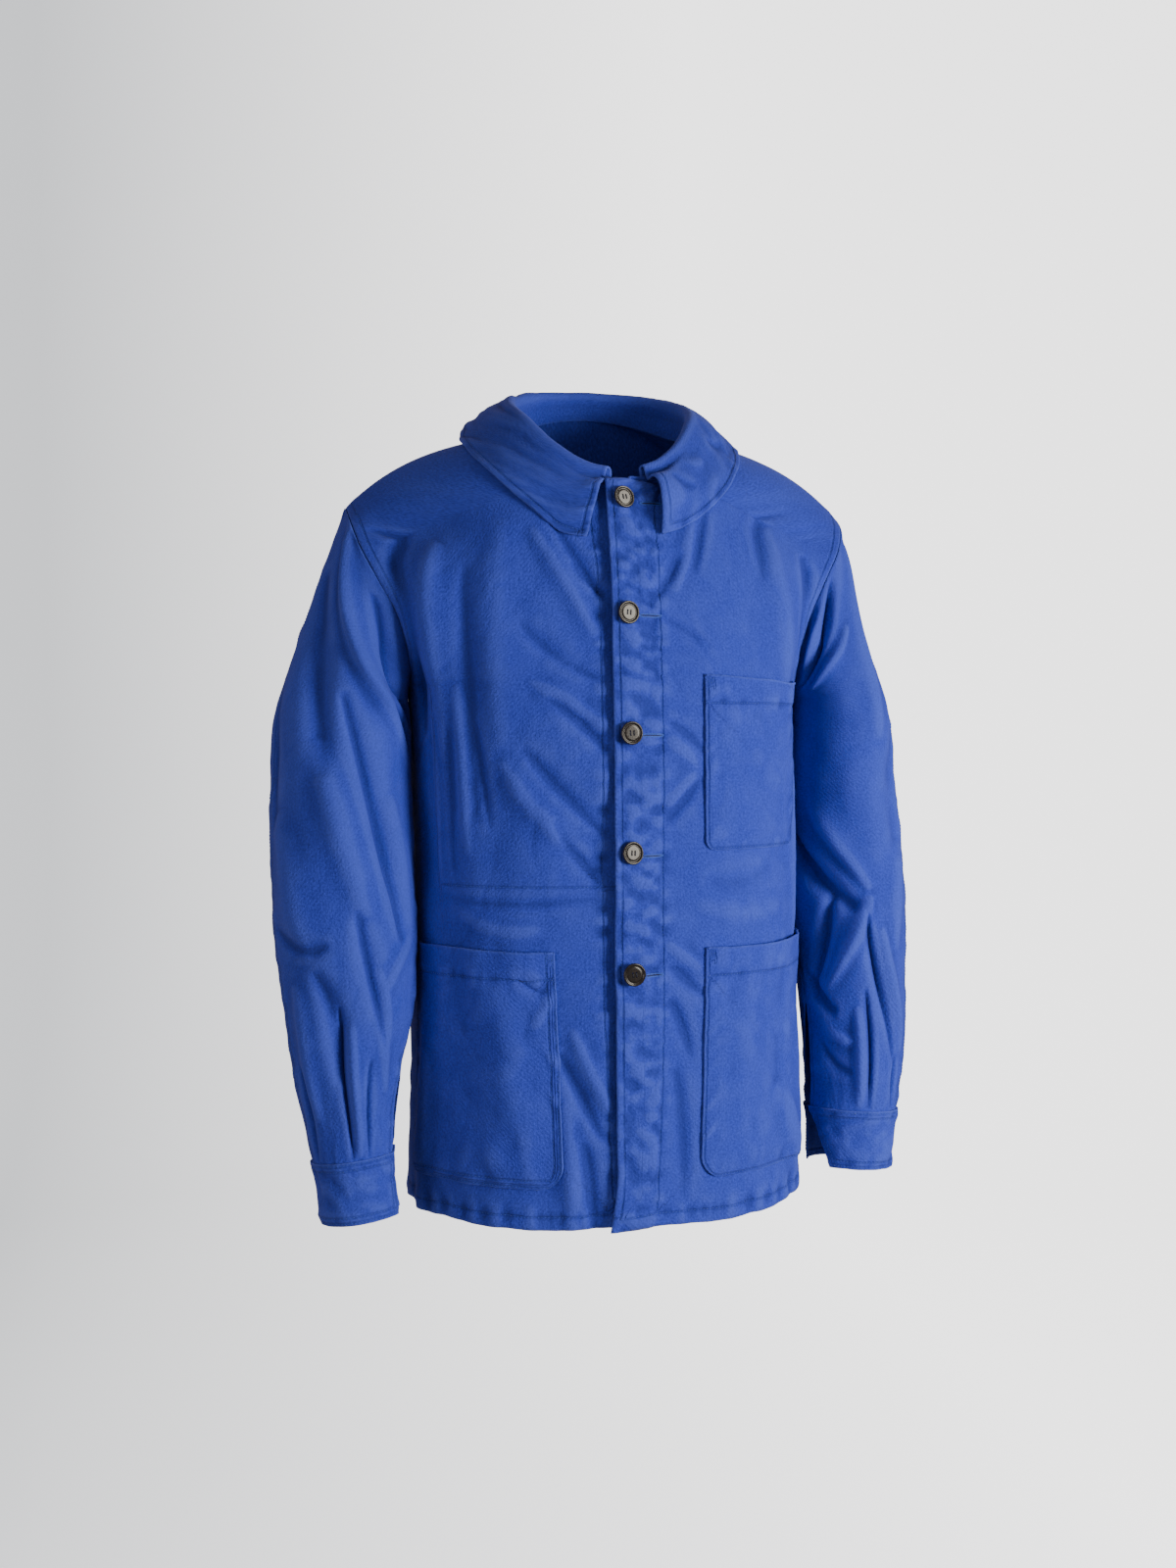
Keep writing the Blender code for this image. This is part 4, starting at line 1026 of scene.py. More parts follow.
def collar_sections(seam, tree):
    angle = np.degrees(np.arctan2(seam[:, 0], -seam[:, 1] * NECK_HALF_WIDTH / 0.1))
    heights = smooth(COLLAR_HEIGHTS, np.abs(angle))
    fold = np.column_stack([ring_round_neck(FOLD_RING, angle), heights[:, 0]])
    count = np.arange(len(seam))
    ends = bell(np.minimum(count, count[::-1]), 2.2)
    edge_angle = angle + np.where(angle > 0, 1.5, -10.0) * ends
    edge = np.column_stack([ring_round_neck(EDGE_RING, edge_angle), heights[:, 1]])
    inward = -seam * np.array([1, 1, 0])
    inward /= np.linalg.norm(inward, axis=1, keepdims=True)
    root = seam + inward * (HALF_BOTH + GAP) - np.array([0, 0, 0.002])
    clearance = HALF_BOTH + COLLAR_AIR
    rows = []
    for a, f, e in zip(root, fold, edge):
        out = (e - f) * np.array([1, 1, 0])
        out /= np.linalg.norm(out)
        lip = min(0.004, 0.3 * np.linalg.norm(f - a))
        crown = f + out * lip
        row = [a, a * 0.5 + f * 0.5 - out * 0.1 * lip, f - np.array([0, 0, 0.5 * lip]), crown]
        for share, puff in FALL:
            point = crown * (1 - share) + e * share + np.array([0, 0, puff])
            row.append(clear_of(tree, point, clearance))
        rows.append(row)
    return laid_over(np.array(rows), tree, clearance, first_column=3)


# %% [markdown]
# The fine collar follows the coarse one by smooth curves, first round the neck and then from the seam to the
# edge. It gets the little waves of a collar that has been washed, and keeps off the body everywhere.

# %% Folds of the collar
# in mm: along 1, from edge 1, along 2, from edge 2, along 3, from edge 3, half-width, depth; skew, sharpness
COLLAR_FOLDS = {
    "left drag": (20, 52, 32, 36, 50, 26, 5, -2, 0.2, 0.4),
    "left roll": (46, 58, 64, 44, 80, 40, 6, 1.8, 0, 0.2),
    "left shoulder": (110, 46, 128, 30, 150, 24, 6, -2, 0.2, 0.3),
    "back left": (190, 40, 210, 26, 236, 22, 6, -1.8, 0.1, 0.3),
    "back right": (272, 22, 296, 30, 316, 44, 7, 1.8, 0, 0.2),
    "right shoulder": (352, 52, 372, 34, 396, 26, 5.5, -2.2, 0.2, 0.4),
    "right roll": (362, 58, 386, 46, 412, 40, 6.5, 2, 0, 0.2),
    "right drag": (400, 58, 424, 42, 452, 36, 4.5, -2.4, 0.3, 0.5),
    "right point": (436, 50, 452, 34, 470, 18, 5, -1.8, 0.2, 0.4),
}

# %% The collar
BODY_TREE = body_tree()
coarse = collar_sections(neck_seam(COLLAR_STATIONS), BODY_TREE).reshape(COLLAR_STATIONS, -1)
stations = np.linspace(0, COLLAR_STATIONS - 1, COLLAR_ROWS)
rounds = smooth(np.column_stack([np.arange(COLLAR_STATIONS), coarse]), stations).reshape(COLLAR_ROWS, -1, 3)
grid = []
for row in rounds:
    run = line_run(row)
    grid.append(smooth(np.column_stack([run, row]), np.linspace(0, run[-1], COLLAR_COLUMNS)))
grid = np.array(grid)
across, along = runs(grid)
to_outer = across[:, -1:] - across
to_edge = np.minimum(to_outer, to_ends(along, 0))
on_fall = soft_step(across, 0.03, 0.046)
crown_column = int(np.argmax(grid[COLLAR_ROWS // 2, :, 2]))
crown_run = across[:, crown_column:crown_column + 1]
down_fall = np.clip((across - crown_run) / (across[:, -1:] - crown_run), 0, 1)
roll = 0.02 * bell(along, 0.036) + 0.004 * bell(along[-1:] - along, 0.04)
wave = 0.0024 * rumple(along, across, 0.034, 51) + 0.0012 * crumple(along, across, 0.017, 53)
wave += 1.5 * fold_lift(along, to_outer, COLLAR_FOLDS)
wave += 0.0024 * puckers(to_edge - 0.006, along, 0.014, 0.008, 52)
wave -= 0.0004 * bell(to_edge - COLLAR_STITCH, 0.003)
wave = wave * on_fall + 2.2 * roll * np.sqrt(down_fall) * (1 - down_fall)
grid = grid + normals_of(grid, np.array([0.0, 0.5, 1.0])) * wave[:, :, None]
for i in range(COLLAR_ROWS):
    for k in range(crown_column, COLLAR_COLUMNS):
        grid[i, k] = clear_of(BODY_TREE, grid[i, k], HALF_BOTH + GAP)
outer_column = columns_at(across, np.arange(COLLAR_ROWS), across[:, -1] - COLLAR_STITCH)
first = int(np.searchsorted(along[:, -1], COLLAR_STITCH))
last = COLLAR_ROWS - 1 - first
outer = np.arange(first, last + 1)
low = crown_column + 3
down = np.arange(low, outer_column[first], 0.5)
up_again = np.arange(outer_column[last], low, -0.5)
line_rows = np.concatenate([np.full(len(down), first), outer, np.full(len(up_again), last)]).astype(float)
collar_lines = [(line_rows, np.concatenate([down, outer_column[outer], up_again]))]
cloth("collar", grid, np.stack([along, across], axis=-1), (0.0, 0.9, 0.5), thickness=COLLAR_CLOTH,
      lines=collar_lines)
back_fall = float(to_outer[COLLAR_ROWS // 2, crown_column])
print("collar quads:", len(PIECES["collar"].data.polygons), "fall at the back:", round(back_fall, 3))
# %% [markdown]
# Each sleeve is cut in two parts, so it can bend with the arm: an upper part in front and an under part
# behind. Round sections stand square to a bent axis, and the first of them is the armhole itself. The two
# arms hang differently, so each has its own table.

# %% Sizes of the sleeves
# centre across, centre front to back, centre height, half-width, half-depth
SLEEVES = {
    "left": {
        "upper arm": (0.241, 0.000, -0.285, 0.0485, 0.078),
        "biceps": (0.2455, 0.000, -0.352, 0.053, 0.079),
        "elbow": (0.2485, -0.004, -0.422, 0.0565, 0.076),
        "below elbow": (0.25, -0.014, -0.492, 0.0575, 0.07),
        "forearm": (0.2505, -0.025, -0.55, 0.053, 0.063),
        "pleats": (0.25, -0.036, -0.606, 0.05, 0.056),
        "wrist": (0.247, -0.042, -0.65, 0.0465, 0.05),
        "cuff seam": (0.244, -0.045, -0.681, 0.0445, 0.046),
        "cuff edge": (0.2405, -0.05, -0.736, 0.0405, 0.045),
    },
    "right": {
        "upper arm": (0.252, -0.012, -0.292, 0.063, 0.078),
        "biceps": (0.255, -0.024, -0.36, 0.0655, 0.079),
        "elbow": (0.2545, -0.036, -0.432, 0.0665, 0.077),
        "below elbow": (0.252, -0.044, -0.505, 0.0655, 0.07),
        "forearm": (0.2505, -0.056, -0.562, 0.06, 0.063),
        "pleats": (0.253, -0.066, -0.618, 0.0495, 0.055),
        "wrist": (0.25, -0.073, -0.664, 0.042, 0.048),
        "cuff seam": (0.2475, -0.078, -0.695, 0.038, 0.043),
        "cuff edge": (0.241, -0.084, -0.75, 0.0365, 0.042),
    },
}
CAP_FULLNESS = {"left": -0.006, "right": 0.002}
# degrees round the arm from its outer side: 90 is its front, 180 the side by the body
OUTER_SEAM = {"left": (-22.0, 24.0), "right": (-32.0, 8.0)}
INNER_SEAM = (184.0, 168.0)
CUFF_FRONT_END = {"left": (172.0, 138.0), "right": (150.0, 150.0)}
CUFF_BACK_END = 200.0
CUFF_HEIGHT, VENT_LENGTH, SLEEVE_LENGTH = 0.055, 0.105, 0.55
ARMPIT_APART = 0.0008
ARMHOLE_LEVELS = [-0.14, -0.215]  # mean heights of the armhole and of the sleeve cap under it
SLEEVE_ROWS = 196
SLEEVE_COLUMNS = {"upper": 82, "under": 62}
ARM_RADIUS = 0.06  # turns degrees round the arm into metres for the folds
SLEEVE_FOLD_STRENGTH = 1.25
VENT_START = 1 - VENT_LENGTH / SLEEVE_LENGTH  # share of the way down the sleeve


# %% Round sections of a sleeve
def ring(centre, direction, half_width, half_depth, degrees):
    direction = direction / np.linalg.norm(direction)
    out = np.cross(np.array([0.0, 1.0, 0.0]), direction)
    out /= np.linalg.norm(out)
    out = out if out[0] > 0 else -out
    front = np.cross(out, direction)
    front = front if front[1] < 0 else -front
    angle = np.radians(degrees)
    return centre + np.outer(half_width * np.cos(angle), out) + np.outer(half_depth * np.sin(angle), front)


def armhole_ring(degrees, side, clear=0.0007):
    """The armhole seam at these angles, just outside the body's edge."""
    degrees = np.asarray(degrees, float)
    share = (1 + np.cos(np.radians(degrees))) / 2
    x, front, back, z = smooth(ARMHOLE, share).T
    x = x + ARMHOLE_SHIFT[side] * np.sin(math.pi * share) ** 2
    y = np.where(degrees % 360 <= 180, front, back)
    up = (z - ARMPIT_HEIGHT) / (ARMHOLE["point"][-1] - ARMPIT_HEIGHT)
    from_seam = degrees - INNER_SEAM[0]
    y = y + ARMPIT_APART * np.sign(from_seam) * bell(from_seam, 10)
    return np.stack([x + clear * (0.6 + 0.2 * up), y, z - clear * (1 - up)], axis=1)


def sleeve_form(side, shares, degrees):
    """Rows of the smooth sleeve. degrees holds the angles of each row."""
    sections = list(SLEEVES[side].values())
    axis = np.array([row[:3] for row in sections])
    directions = np.gradient(axis, axis=0)
    directions[-2] = axis[-1] - axis[-2]
    sections = sections[:-1]
    heights = ARMHOLE_LEVELS + [row[2] for row in sections]
    lengths = np.concatenate([[0], np.cumsum(np.abs(np.diff(heights)))])
    lengths /= lengths[-1]
    grid = []
    for share, row_degrees in zip(shares, degrees):
        rings = [armhole_ring(row_degrees, side)]
        for row, direction in zip(sections, directions):
            rings.append(ring(np.array(row[:3]), direction, row[3], row[4], row_degrees))
        turn = np.cos(np.radians(row_degrees))
        cap = (rings[0] + rings[1]) / 2
        cap[:, 0] += CAP_FULLNESS[side] * np.clip(turn, 0, 1) + 0.001 * np.clip(-turn, 0, 1)
        rings.insert(1, cap)
        table = np.column_stack([lengths, np.array(rings).reshape(len(rings), -1)])
        grid.append(smooth(table, share)[0].reshape(-1, 3))
    return np.array(grid)


# %% [markdown]
# The folds of a sleeve wind round the arm: they start at the front of the armhole, where lifting the arm
# pulls the cloth, and gather again behind the elbow and above the cuff, where the cloth is pleated in.

# %% Folds of the sleeves
# degrees round and percent down, three times; half-width and depth in mm; skew, sharpness
SLEEVE_FOLDS = {
    "right": {
        "long ridge": (40, -2, 94, 18.5, 166, 37.2, 11.5, 10, 0.35, 0.2),
        "hollow by the body": (88, 3, 128, 16, 176, 30, 13, -11.5, 0, 0.1),
        "hollow behind it": (26, 8, 58, 23.5, 74, 40, 17, -8.5, 0.1, 0),
        "dark fork": (132, 26.2, 156, 31.8, 178, 37.8, 6.5, -7, 0.3, 0.5),
        "winding trough": (84, 25, 112, 43, 140, 66.8, 9.5, -8.5, 0.3, 0.4),
        "roll beside it": (66, 33, 88, 49, 104, 62, 15, 6.5, 0, 0),
        "elbow roll": (28, 44, 42, 56, 54, 69, 18, 6, 0, 0),
        "inner roll": (128, 42, 144, 53, 158, 64, 11, 6, 0, 0),
        "second trough": (98, 60, 108, 72, 128, 84, 8, -7, 0.3, 0.5),
        "roll under it": (112, 70, 122, 79, 134, 90, 9, 6, 0, 0.1),
        "over the vent": (168, 64, 138, 68, 122, 73.5, 7, 6, 0.2, 0.3),
        "elbow break": (18, 62, 50, 66.5, 74, 65.5, 10, -4.5, 0.2, 0.3),
        "outer trough": (-6, 20, 14, 33, 22, 47, 13, -4.5, 0.1, 0.1),
        "dark above the pleat": (58, 70, 74, 79, 80, 88, 13, -7, 0.2, 0.1),
        "forearm roll": (36, 72, 44, 82, 48, 94, 12, 4.5, 0, 0),
        "pleat": (78, 76, 83, 86, 88, 103, 4.2, -7.5, 0.5, 0.8),
        "pleat's roll": (88, 79, 94, 88, 98, 103, 8, 5.5, 0, 0.1),
        "second pleat": (112, 84, 110, 91, 108, 103, 4, -4.5, 0.5, 0.8),
        "outer pleat": (34, 85, 33, 92, 32, 103, 5, -4.5, 0.4, 0.6),
        "back trough": (250, 18, 272, 30, 288, 43, 14, -5.5, 0.1, 0.1),
        "back roll": (232, 22, 252, 35, 262, 47, 15, 4, 0, 0),
        "behind the elbow": (296, 52, 262, 60, 236, 56, 12, -4.2, 0.2, 0.2),
        "over the elbow": (306, 47, 268, 54.5, 242, 50, 14, 3.4, 0, 0),
        "under the elbow": (286, 64, 262, 69, 244, 70, 12, 2.6, 0, 0),
        "back forearm": (318, 68, 300, 82, 296, 96, 10, -5, 0.1, 0.2),
    },
    "left": {
        "front of the armhole": (78, 1, 100, 8, 146, 10.4, 8.5, -12, 0.4, 0.4),
        "armpit roll": (88, -3, 106, 3.4, 128, 6.6, 8.5, 7, 0, 0.1),
        "under the armpit roll": (76, 11, 100, 14, 132, 15, 10, 6, 0, 0.1),
        "head roll": (40, 2, 62, 15, 70, 33, 17, 5, 0, 0),
        "upper crest": (170, 38, 128, 50, 89, 61.6, 10.5, 7.5, -0.3, 0.2),
        "dark flank": (178, 48, 142, 58, 100, 64.6, 12, -12, 0, 0.1),
        "lower crest": (89, 62, 108, 71, 140, 79, 10.5, 8.5, 0.3, 0.3),
        "lower flank": (128, 61, 136, 69, 158, 78.6, 8.5, -8.5, 0, 0.3),
        "second dark": (170, 74, 148, 80, 128, 83, 8, -6, 0.2, 0.3),
        "roll under it": (166, 80, 140, 86, 112, 88, 8, 5, 0, 0.1),
        "above the cuff": (150, 88, 132, 92, 110, 93, 6, -3.5, 0.2, 0.4),
        "outer hollow": (34, 30, 50, 43, 50, 56, 16, -4, 0.1, 0),
        "elbow roll": (46, 52, 58, 62, 58, 73, 15, 5, 0, 0),
        "first pleat": (93, 64, 84, 76, 56, 91.5, 4.5, -7.5, 0.5, 0.8),
        "roll by the first": (78, 68, 66, 78, 46, 90, 9, 5, 0, 0.1),
        "second pleat": (97, 79, 91, 89, 86, 103, 4.2, -6.5, 0.5, 0.8),
        "roll by the second": (108, 82, 104, 90, 100, 103, 8, 5, 0, 0.1),
        "outer pleat": (54, 90, 50, 96, 48, 103, 4.5, -4.5, 0.4, 0.7),
        "back trough": (254, 15, 278, 27, 288, 40, 14, -5.5, 0.1, 0.1),
        "back roll": (236, 20, 256, 32, 262, 45, 15, 4, 0, 0),
        "behind the elbow": (300, 60, 268, 59, 242, 52, 12.5, -4.2, 0.2, 0.2),
        "over the elbow": (308, 54, 272, 53, 244, 45, 14, 3.4, 0, 0),
        "under the elbow": (296, 67, 268, 66.8, 246, 61, 12, 2.6, 0, 0),
        "back forearm": (326, 70, 308, 84, 304, 98, 10, -5, 0.1, 0.2),
    },
}


def seam_angles(side, share):
    at_armhole, below = OUTER_SEAM[side]
    outer = at_armhole + (below - at_armhole) * min(1.0, share / 0.2)
    return outer, INNER_SEAM[0] + (INNER_SEAM[1] - INNER_SEAM[0]) * share


def sleeve_degrees(side, part, share, columns):
    """The angles of one row: from seam to seam, and open along the vent above the cuff."""
    gap = math.degrees(2.2 * GAP / 0.055)
    outer, inner = seam_angles(side, share)
    opening = max(0.0, (share - VENT_START) / (1 - VENT_START)) ** 0.8
    if part == "upper":
        return np.linspace(outer + gap, inner - gap - opening * (inner - CUFF_FRONT_END[side][0]), columns)
    return np.linspace(inner + gap + opening * (CUFF_BACK_END - inner), outer + 360 - gap, columns)


def sleeve_panel(side, part):
    shares = np.linspace(0, 1, SLEEVE_ROWS)
    degrees = np.array([sleeve_degrees(side, part, share, SLEEVE_COLUMNS[part]) for share in shares])
    grid = sleeve_form(side, shares, degrees)
    around = np.radians(degrees) * ARM_RADIUS
    down = np.broadcast_to(shares[:, None] * SLEEVE_LENGTH, around.shape)
    scale = np.array([1000 * math.radians(1) * ARM_RADIUS, 10 * SLEEVE_LENGTH] * 3 + [1, 1, 1, 1])
    folds = {name: tuple(np.array(row) * scale) for name, row in SLEEVE_FOLDS[side].items()}
    seed = 60 + ("left", "right").index(side) * 5 + ("upper", "under").index(part)
    lift = SLEEVE_FOLD_STRENGTH * fold_lift(around, down, folds, 0.86)
    lift += 0.0022 * rumple(around, down * 0.7, 0.04, seed)
    lift += 0.0005 * crumple(around, down * 0.6 + around * 0.5, 0.026, seed + 10)
    across, along = runs(grid)
    to_seam, to_cuff = to_ends(across, 1), along[-1:] - along
    off_body = np.clip((np.abs(degrees - 180) - 26) / 34, 0, 1)
    below_arm = soft_step(shares[:, None], 0.14, 0.3)
    room = np.where(lift > 0, off_body, np.maximum(off_body, below_arm))  # ridges would touch the body
    ends = soft_step(along, 0.0, 0.018) * (0.35 + 0.65 * soft_step(to_cuff, 0.0, 0.03))
    ends = ends * soft_step(to_cuff, 0.0015, 0.007)
    lift = lift * soft_step(to_seam, 0.001, 0.016) * room * ends
    lift += 0.0014 * puckers(to_seam - 0.006, down, 0.012, 0.008, seed + 20)
    lift += 0.0014 * puckers(along - 0.006, around, 0.01, 0.008, seed + 30) * soft_step(along, 0, 0.004)
    lift += 0.002 * puckers(to_cuff, around, 0.008, 0.014, seed + 40) * (0.2 + 0.8 * ends)
    outward = np.array([1.0, 0.3, 0.1]) if part == "under" else np.array([0.4, -1.0, 0.1])
    normals = normals_of(grid, outward)
    grid = grid + normals * lift[:, :, None]
    if part == "under":
        below_cap = soft_step(shares, 0.02, 0.06)
        above_vent = 1 - soft_step(shares, VENT_START - 0.03, VENT_START)
        tuck_edge(grid, normals, -1, -2, below_cap * soft_step(1 - shares, 0.0, 0.02))
        tuck_edge(grid, normals, 0, 1, below_cap * above_vent)
    return grid, degrees


# %% [markdown]
# The long outer seam is felled: one part is folded over the other and sewn down twice, which leaves two lines
# of stitches. Above the cuff the inner seam stays open as a vent, with a narrow sewn hem.

# %% Sewing the sleeves
VENT_HEM = 0.0055


def sleeve_lines(part, grid):
    across = run_along(grid, 1)
    rows = np.arange(2, SLEEVE_ROWS - 1)
    vent_rows = rows[int(SLEEVE_ROWS * VENT_START):]
    hem = across[vent_rows, -1] - VENT_HEM if part == "upper" else VENT_HEM
    lines = [(rows, columns_at(across, rows, inset)) for inset in (SEAM_STITCH, FELL) if part == "upper"]
    return lines + [(vent_rows, columns_at(across, vent_rows, hem))]


for side, turn in SIDES.items():
    for part in ("upper", "under"):
        grid, degrees = sleeve_panel(side, part)
        lines = sleeve_lines(part, grid)
        across, along = runs(grid)
        flat = np.stack([across, np.broadcast_to(along[:, :1], degrees.shape)], axis=-1)
        grid = grid * np.array([turn, 1, 1])
        facing = (0.4 * turn, -1.0, 0.1) if part == "upper" else (1.0 * turn, 0.3, 0.1)
        cloth(f"sleeve_{side}_{part}", grid, flat, facing, lines=lines)
print("sleeves:", [len(PIECES[name].data.polygons) for name in PIECES if name.startswith("sleeve")])

# %% [markdown]
# A cuff is a band of two plies, stiffer than the sleeve. It is shown unbuttoned, so it stands open beside the
# body and keeps a plain round form, with stitches along every side.

# %% The cuffs
CUFF_ROWS, CUFF_COLUMNS = 24, 132
CUFF_STITCHES = (0.0022, 0.0075)  # insets of its two lines
CUFF_OVERLAP, CUFF_OVER_SLEEVE = 0.0012, 0.0017  # its top edge lies over the end of the sleeve


def cuff_panel(side):
    seam, edge = list(SLEEVES[side].values())[-2:]
    direction = np.array(edge[:3]) - np.array(seam[:3])
    unit = direction / np.linalg.norm(direction)
    at_seam, at_edge = CUFF_FRONT_END[side]
    grid = []
    for share in np.linspace(0, 1, CUFF_ROWS):
        centre = np.array(seam[:3]) + unit * (CUFF_HEIGHT * share - CUFF_OVERLAP * (1 - share))
        easing = CUFF_OVER_SLEEVE * max(0.0, 1 - 3 * share)
        wide, deep = (seam[k] + (edge[k] - seam[k]) * share + easing for k in (3, 4))
        degrees = np.linspace(CUFF_BACK_END - 360, at_seam + (at_edge - at_seam) * share, CUFF_COLUMNS)
        grid.append(ring(centre, direction, wide, deep, degrees))
    grid = np.array(grid)
    across, along = runs(grid)
    to_end = to_ends(along, 0)
    seed = 90 + ("left", "right").index(side)
    lift = 0.0022 * rumple(across, along * 0.8, 0.03, seed) * soft_step(to_end, 0.001, 0.01)
    lift += 0.0016 * puckers(to_end - 0.006, across, 0.01, 0.006, seed + 4)
    lift += 0.0014 * rumple(across, along, 0.012, seed + 8) * soft_step(to_end, 0.001, 0.008)
    return grid + normals_of(grid, np.array([0.6, -1.0, 0.0])) * lift[:, :, None]


def band_line(grid, inset):
    """A line that keeps this far inside all four sides of a band."""
    across, along = runs(grid)
    rows, columns = len(grid) - 1, grid.shape[1] - 1
    top = float(np.interp(inset, along[:, columns // 2], np.arange(rows + 1)))
    near = float(np.interp(inset, across[rows // 2], np.arange(columns + 1)))
    width = np.arange(near, columns - near, 0.6)
    height = np.arange(top, rows - top, 0.6)
    return (
        np.concatenate([np.full(len(width), top), height, np.full(len(width), rows - top), height[::-1]]),
        np.concatenate([
            width, np.full(len(height), columns - near), width[::-1], np.full(len(height), near)]),
    )


for side, turn in SIDES.items():
    grid = cuff_panel(side)
    flat = np.stack(runs(grid), axis=-1)
    cloth(f"cuff_{side}", grid * np.array([turn, 1, 1]), flat, (0.6 * turn, -1.0, 0.0),
          thickness=COLLAR_CLOTH, lines=[band_line(grid, inset) for inset in CUFF_STITCHES])
print("cuff round, in metres:", round(float(flat[0, -1, 0]), 3))
# %% [markdown]
# Stitches are real thread, so each one is a small bead a little longer than it is wide, laid end to end with
# short gaps where the thread dips through the cloth. One mesh holds all the stitches of one piece.

# %% The stitches
STITCH_PITCH, STITCH_LENGTH, STITCH_WIDTH = 0.0032, 0.0025, 0.00055
STITCH_PROUD, HALF_STITCH = 0.00012, 0.0012  # how far it stands out; its direction is read this far each way


def beads(centres, ahead, out):
    """Points and triangles of one eight-sided bead at each centre."""
    forward, aside = ahead * STITCH_LENGTH / 2, np.cross(ahead, out) * STITCH_WIDTH / 2
    tips = [centres + forward, centres - forward, centres + aside, centres - aside,
            centres + out * STITCH_WIDTH * 0.42, centres - out * STITCH_WIDTH * 0.3]
    points = np.stack(tips, axis=1).reshape(-1, 3)
    shape = np.array([[0, 4, 2], [0, 3, 4], [0, 5, 3], [0, 2, 5], [1, 2, 4], [1, 4, 3], [1, 3, 5], [1, 5, 2]])
    return points, (shape + 6 * np.arange(len(centres))[:, None, None]).reshape(-1, 3)


def stitches(name):
    grid, normals, half, lines = SEWN[name]
    points, faces, count = [], [], 0
    for rows, columns in lines:
        out = at_grid(normals, rows, columns)
        line = at_grid(grid, rows, columns) + out * (at_grid(half, rows, columns) + STITCH_PROUD)[:, None]
        run = line_run(line)
        at = np.arange(0.4 * STITCH_PITCH, run[-1], STITCH_PITCH)
        out = read_line(out, run, at)
        out /= np.linalg.norm(out, axis=1, keepdims=True)
        ahead = read_line(line, run, at + HALF_STITCH) - read_line(line, run, at - HALF_STITCH)
        ahead /= np.maximum(np.linalg.norm(ahead, axis=1, keepdims=True), 1e-9)
        some, shape = beads(read_line(line, run, at), ahead, out)
        faces.append(shape + count)
        points.append(some)
        count += len(some)
    mesh = bpy.data.meshes.new(f"stitches_{name}")
    mesh.from_pydata(np.concatenate(points).tolist(), [], np.concatenate(faces).tolist())
    mesh.shade_smooth()
    return put(f"stitches_{name}", mesh, jacket)


STITCHES = {name: stitches(name) for name in list(PIECES) if SEWN[name][3]}
print("stitches:", sum(len(made.data.vertices) for made in STITCHES.values()) // 6)

# %% [markdown]
# A buttonhole is a slit whose lips are bound with close thread, so it stands up as a narrow oval ring. It is
# swept round a long path on the left front's own surface.

# %% The buttonholes
HOLE_START = (0.0145, 0.009, 0.0085, 0.008, 0.0073)  # distance from the centre line, top to bottom
HOLE_LENGTH, LIP_WIDTH = 0.0205, 0.0013
HOLE_DROP, HOLE_SLANT = 0.001, 0.03  # how far it lies under its button, and how much it rises outward


def tube(points, out, radii, sides=8, flat=0.6, closed=False):
    """Points and faces of a tube round a path, given its points, outward directions and radii."""
    steps = (np.roll(points, -1, axis=0) - np.roll(points, 1, axis=0) if closed
             else np.gradient(points, axis=0))
    ahead = steps / np.linalg.norm(steps, axis=1, keepdims=True)
    aside = np.cross(ahead, out)
    angle = np.linspace(0, 2 * math.pi, sides, endpoint=False)
    ring_points = (points[:, None] + np.cos(angle)[None, :, None] * aside[:, None] * radii[:, None, None]
                   + np.sin(angle)[None, :, None] * out[:, None] * radii[:, None, None] * flat)
    rows = len(points)
    index = np.arange(rows * sides).reshape(rows, sides)
    below = np.roll(index, -1, axis=0) if closed else index[1:]
    above = index if closed else index[:-1]
    quads = np.stack([above, np.roll(above, -1, axis=1), np.roll(below, -1, axis=1), below], axis=-1)
    ends = [] if closed else [list(index[0])[::-1], list(index[-1])]
    return ring_points.reshape(-1, 3), quads.reshape(-1, 4).tolist() + ends


def mesh_object(name, points, faces):
    mesh = bpy.data.meshes.new(name)
    mesh.from_pydata(points.tolist(), [], shifted(faces, 0))
    mesh.update()
    solid = bmesh.new()
    solid.from_mesh(mesh)
    bmesh.ops.recalc_face_normals(solid, faces=solid.faces)
    solid.to_mesh(mesh)
    solid.free()
    mesh.shade_smooth()
    return put(name, mesh, jacket)


def buttonhole(number, height):
    start = HOLE_START[number]
    turn = np.linspace(0, 2 * math.pi, 120, endpoint=False)
    oval = np.sign(np.cos(turn)) * np.abs(np.cos(turn)) ** 0.6
    across = start + HOLE_LENGTH / 2 + (HOLE_LENGTH / 2 + 0.0006) * oval
    along = height - HOLE_DROP + 0.0012 * np.sin(turn) + HOLE_SLANT * (across - start)
    place, out = on_panel("left", across, along)
    place = place + out * (DOUBLE_CLOTH / 2 + 0.0002)
    radii = LIP_WIDTH / 2 * (1 + 0.13 * np.sin(turn * 37) + 0.1 * np.sin(turn * 5 + number))
    lips, lip_faces = tube(place, out, radii, closed=True)
    inside = np.linspace(start + 0.0004, start + HOLE_LENGTH - 0.0004, 12)
    place, out = on_panel("left", inside, height - HOLE_DROP + HOLE_SLANT * (inside - start))
    slit, slit_faces = tube(place + out * DOUBLE_CLOTH / 2, out, np.full(12, 0.00045), flat=0.5)
    made = mesh_object(f"buttonhole_{number + 1}", np.concatenate([lips, slit]),
                       lip_faces + shifted(slit_faces, len(lips)))
    made["lip faces"] = len(lip_faces)
    return made


HOLES = [buttonhole(number, height) for number, height in enumerate(BUTTON_HEIGHTS)]
print("buttonholes:", len(HOLES))

# %% [markdown]
# A four-hole button is turned on a lathe: a rounded rim, a groove and a flat middle where the holes are.
# Screw turns the profile and a Boolean cuts the holes. Two bars of thread cross it, up and down.

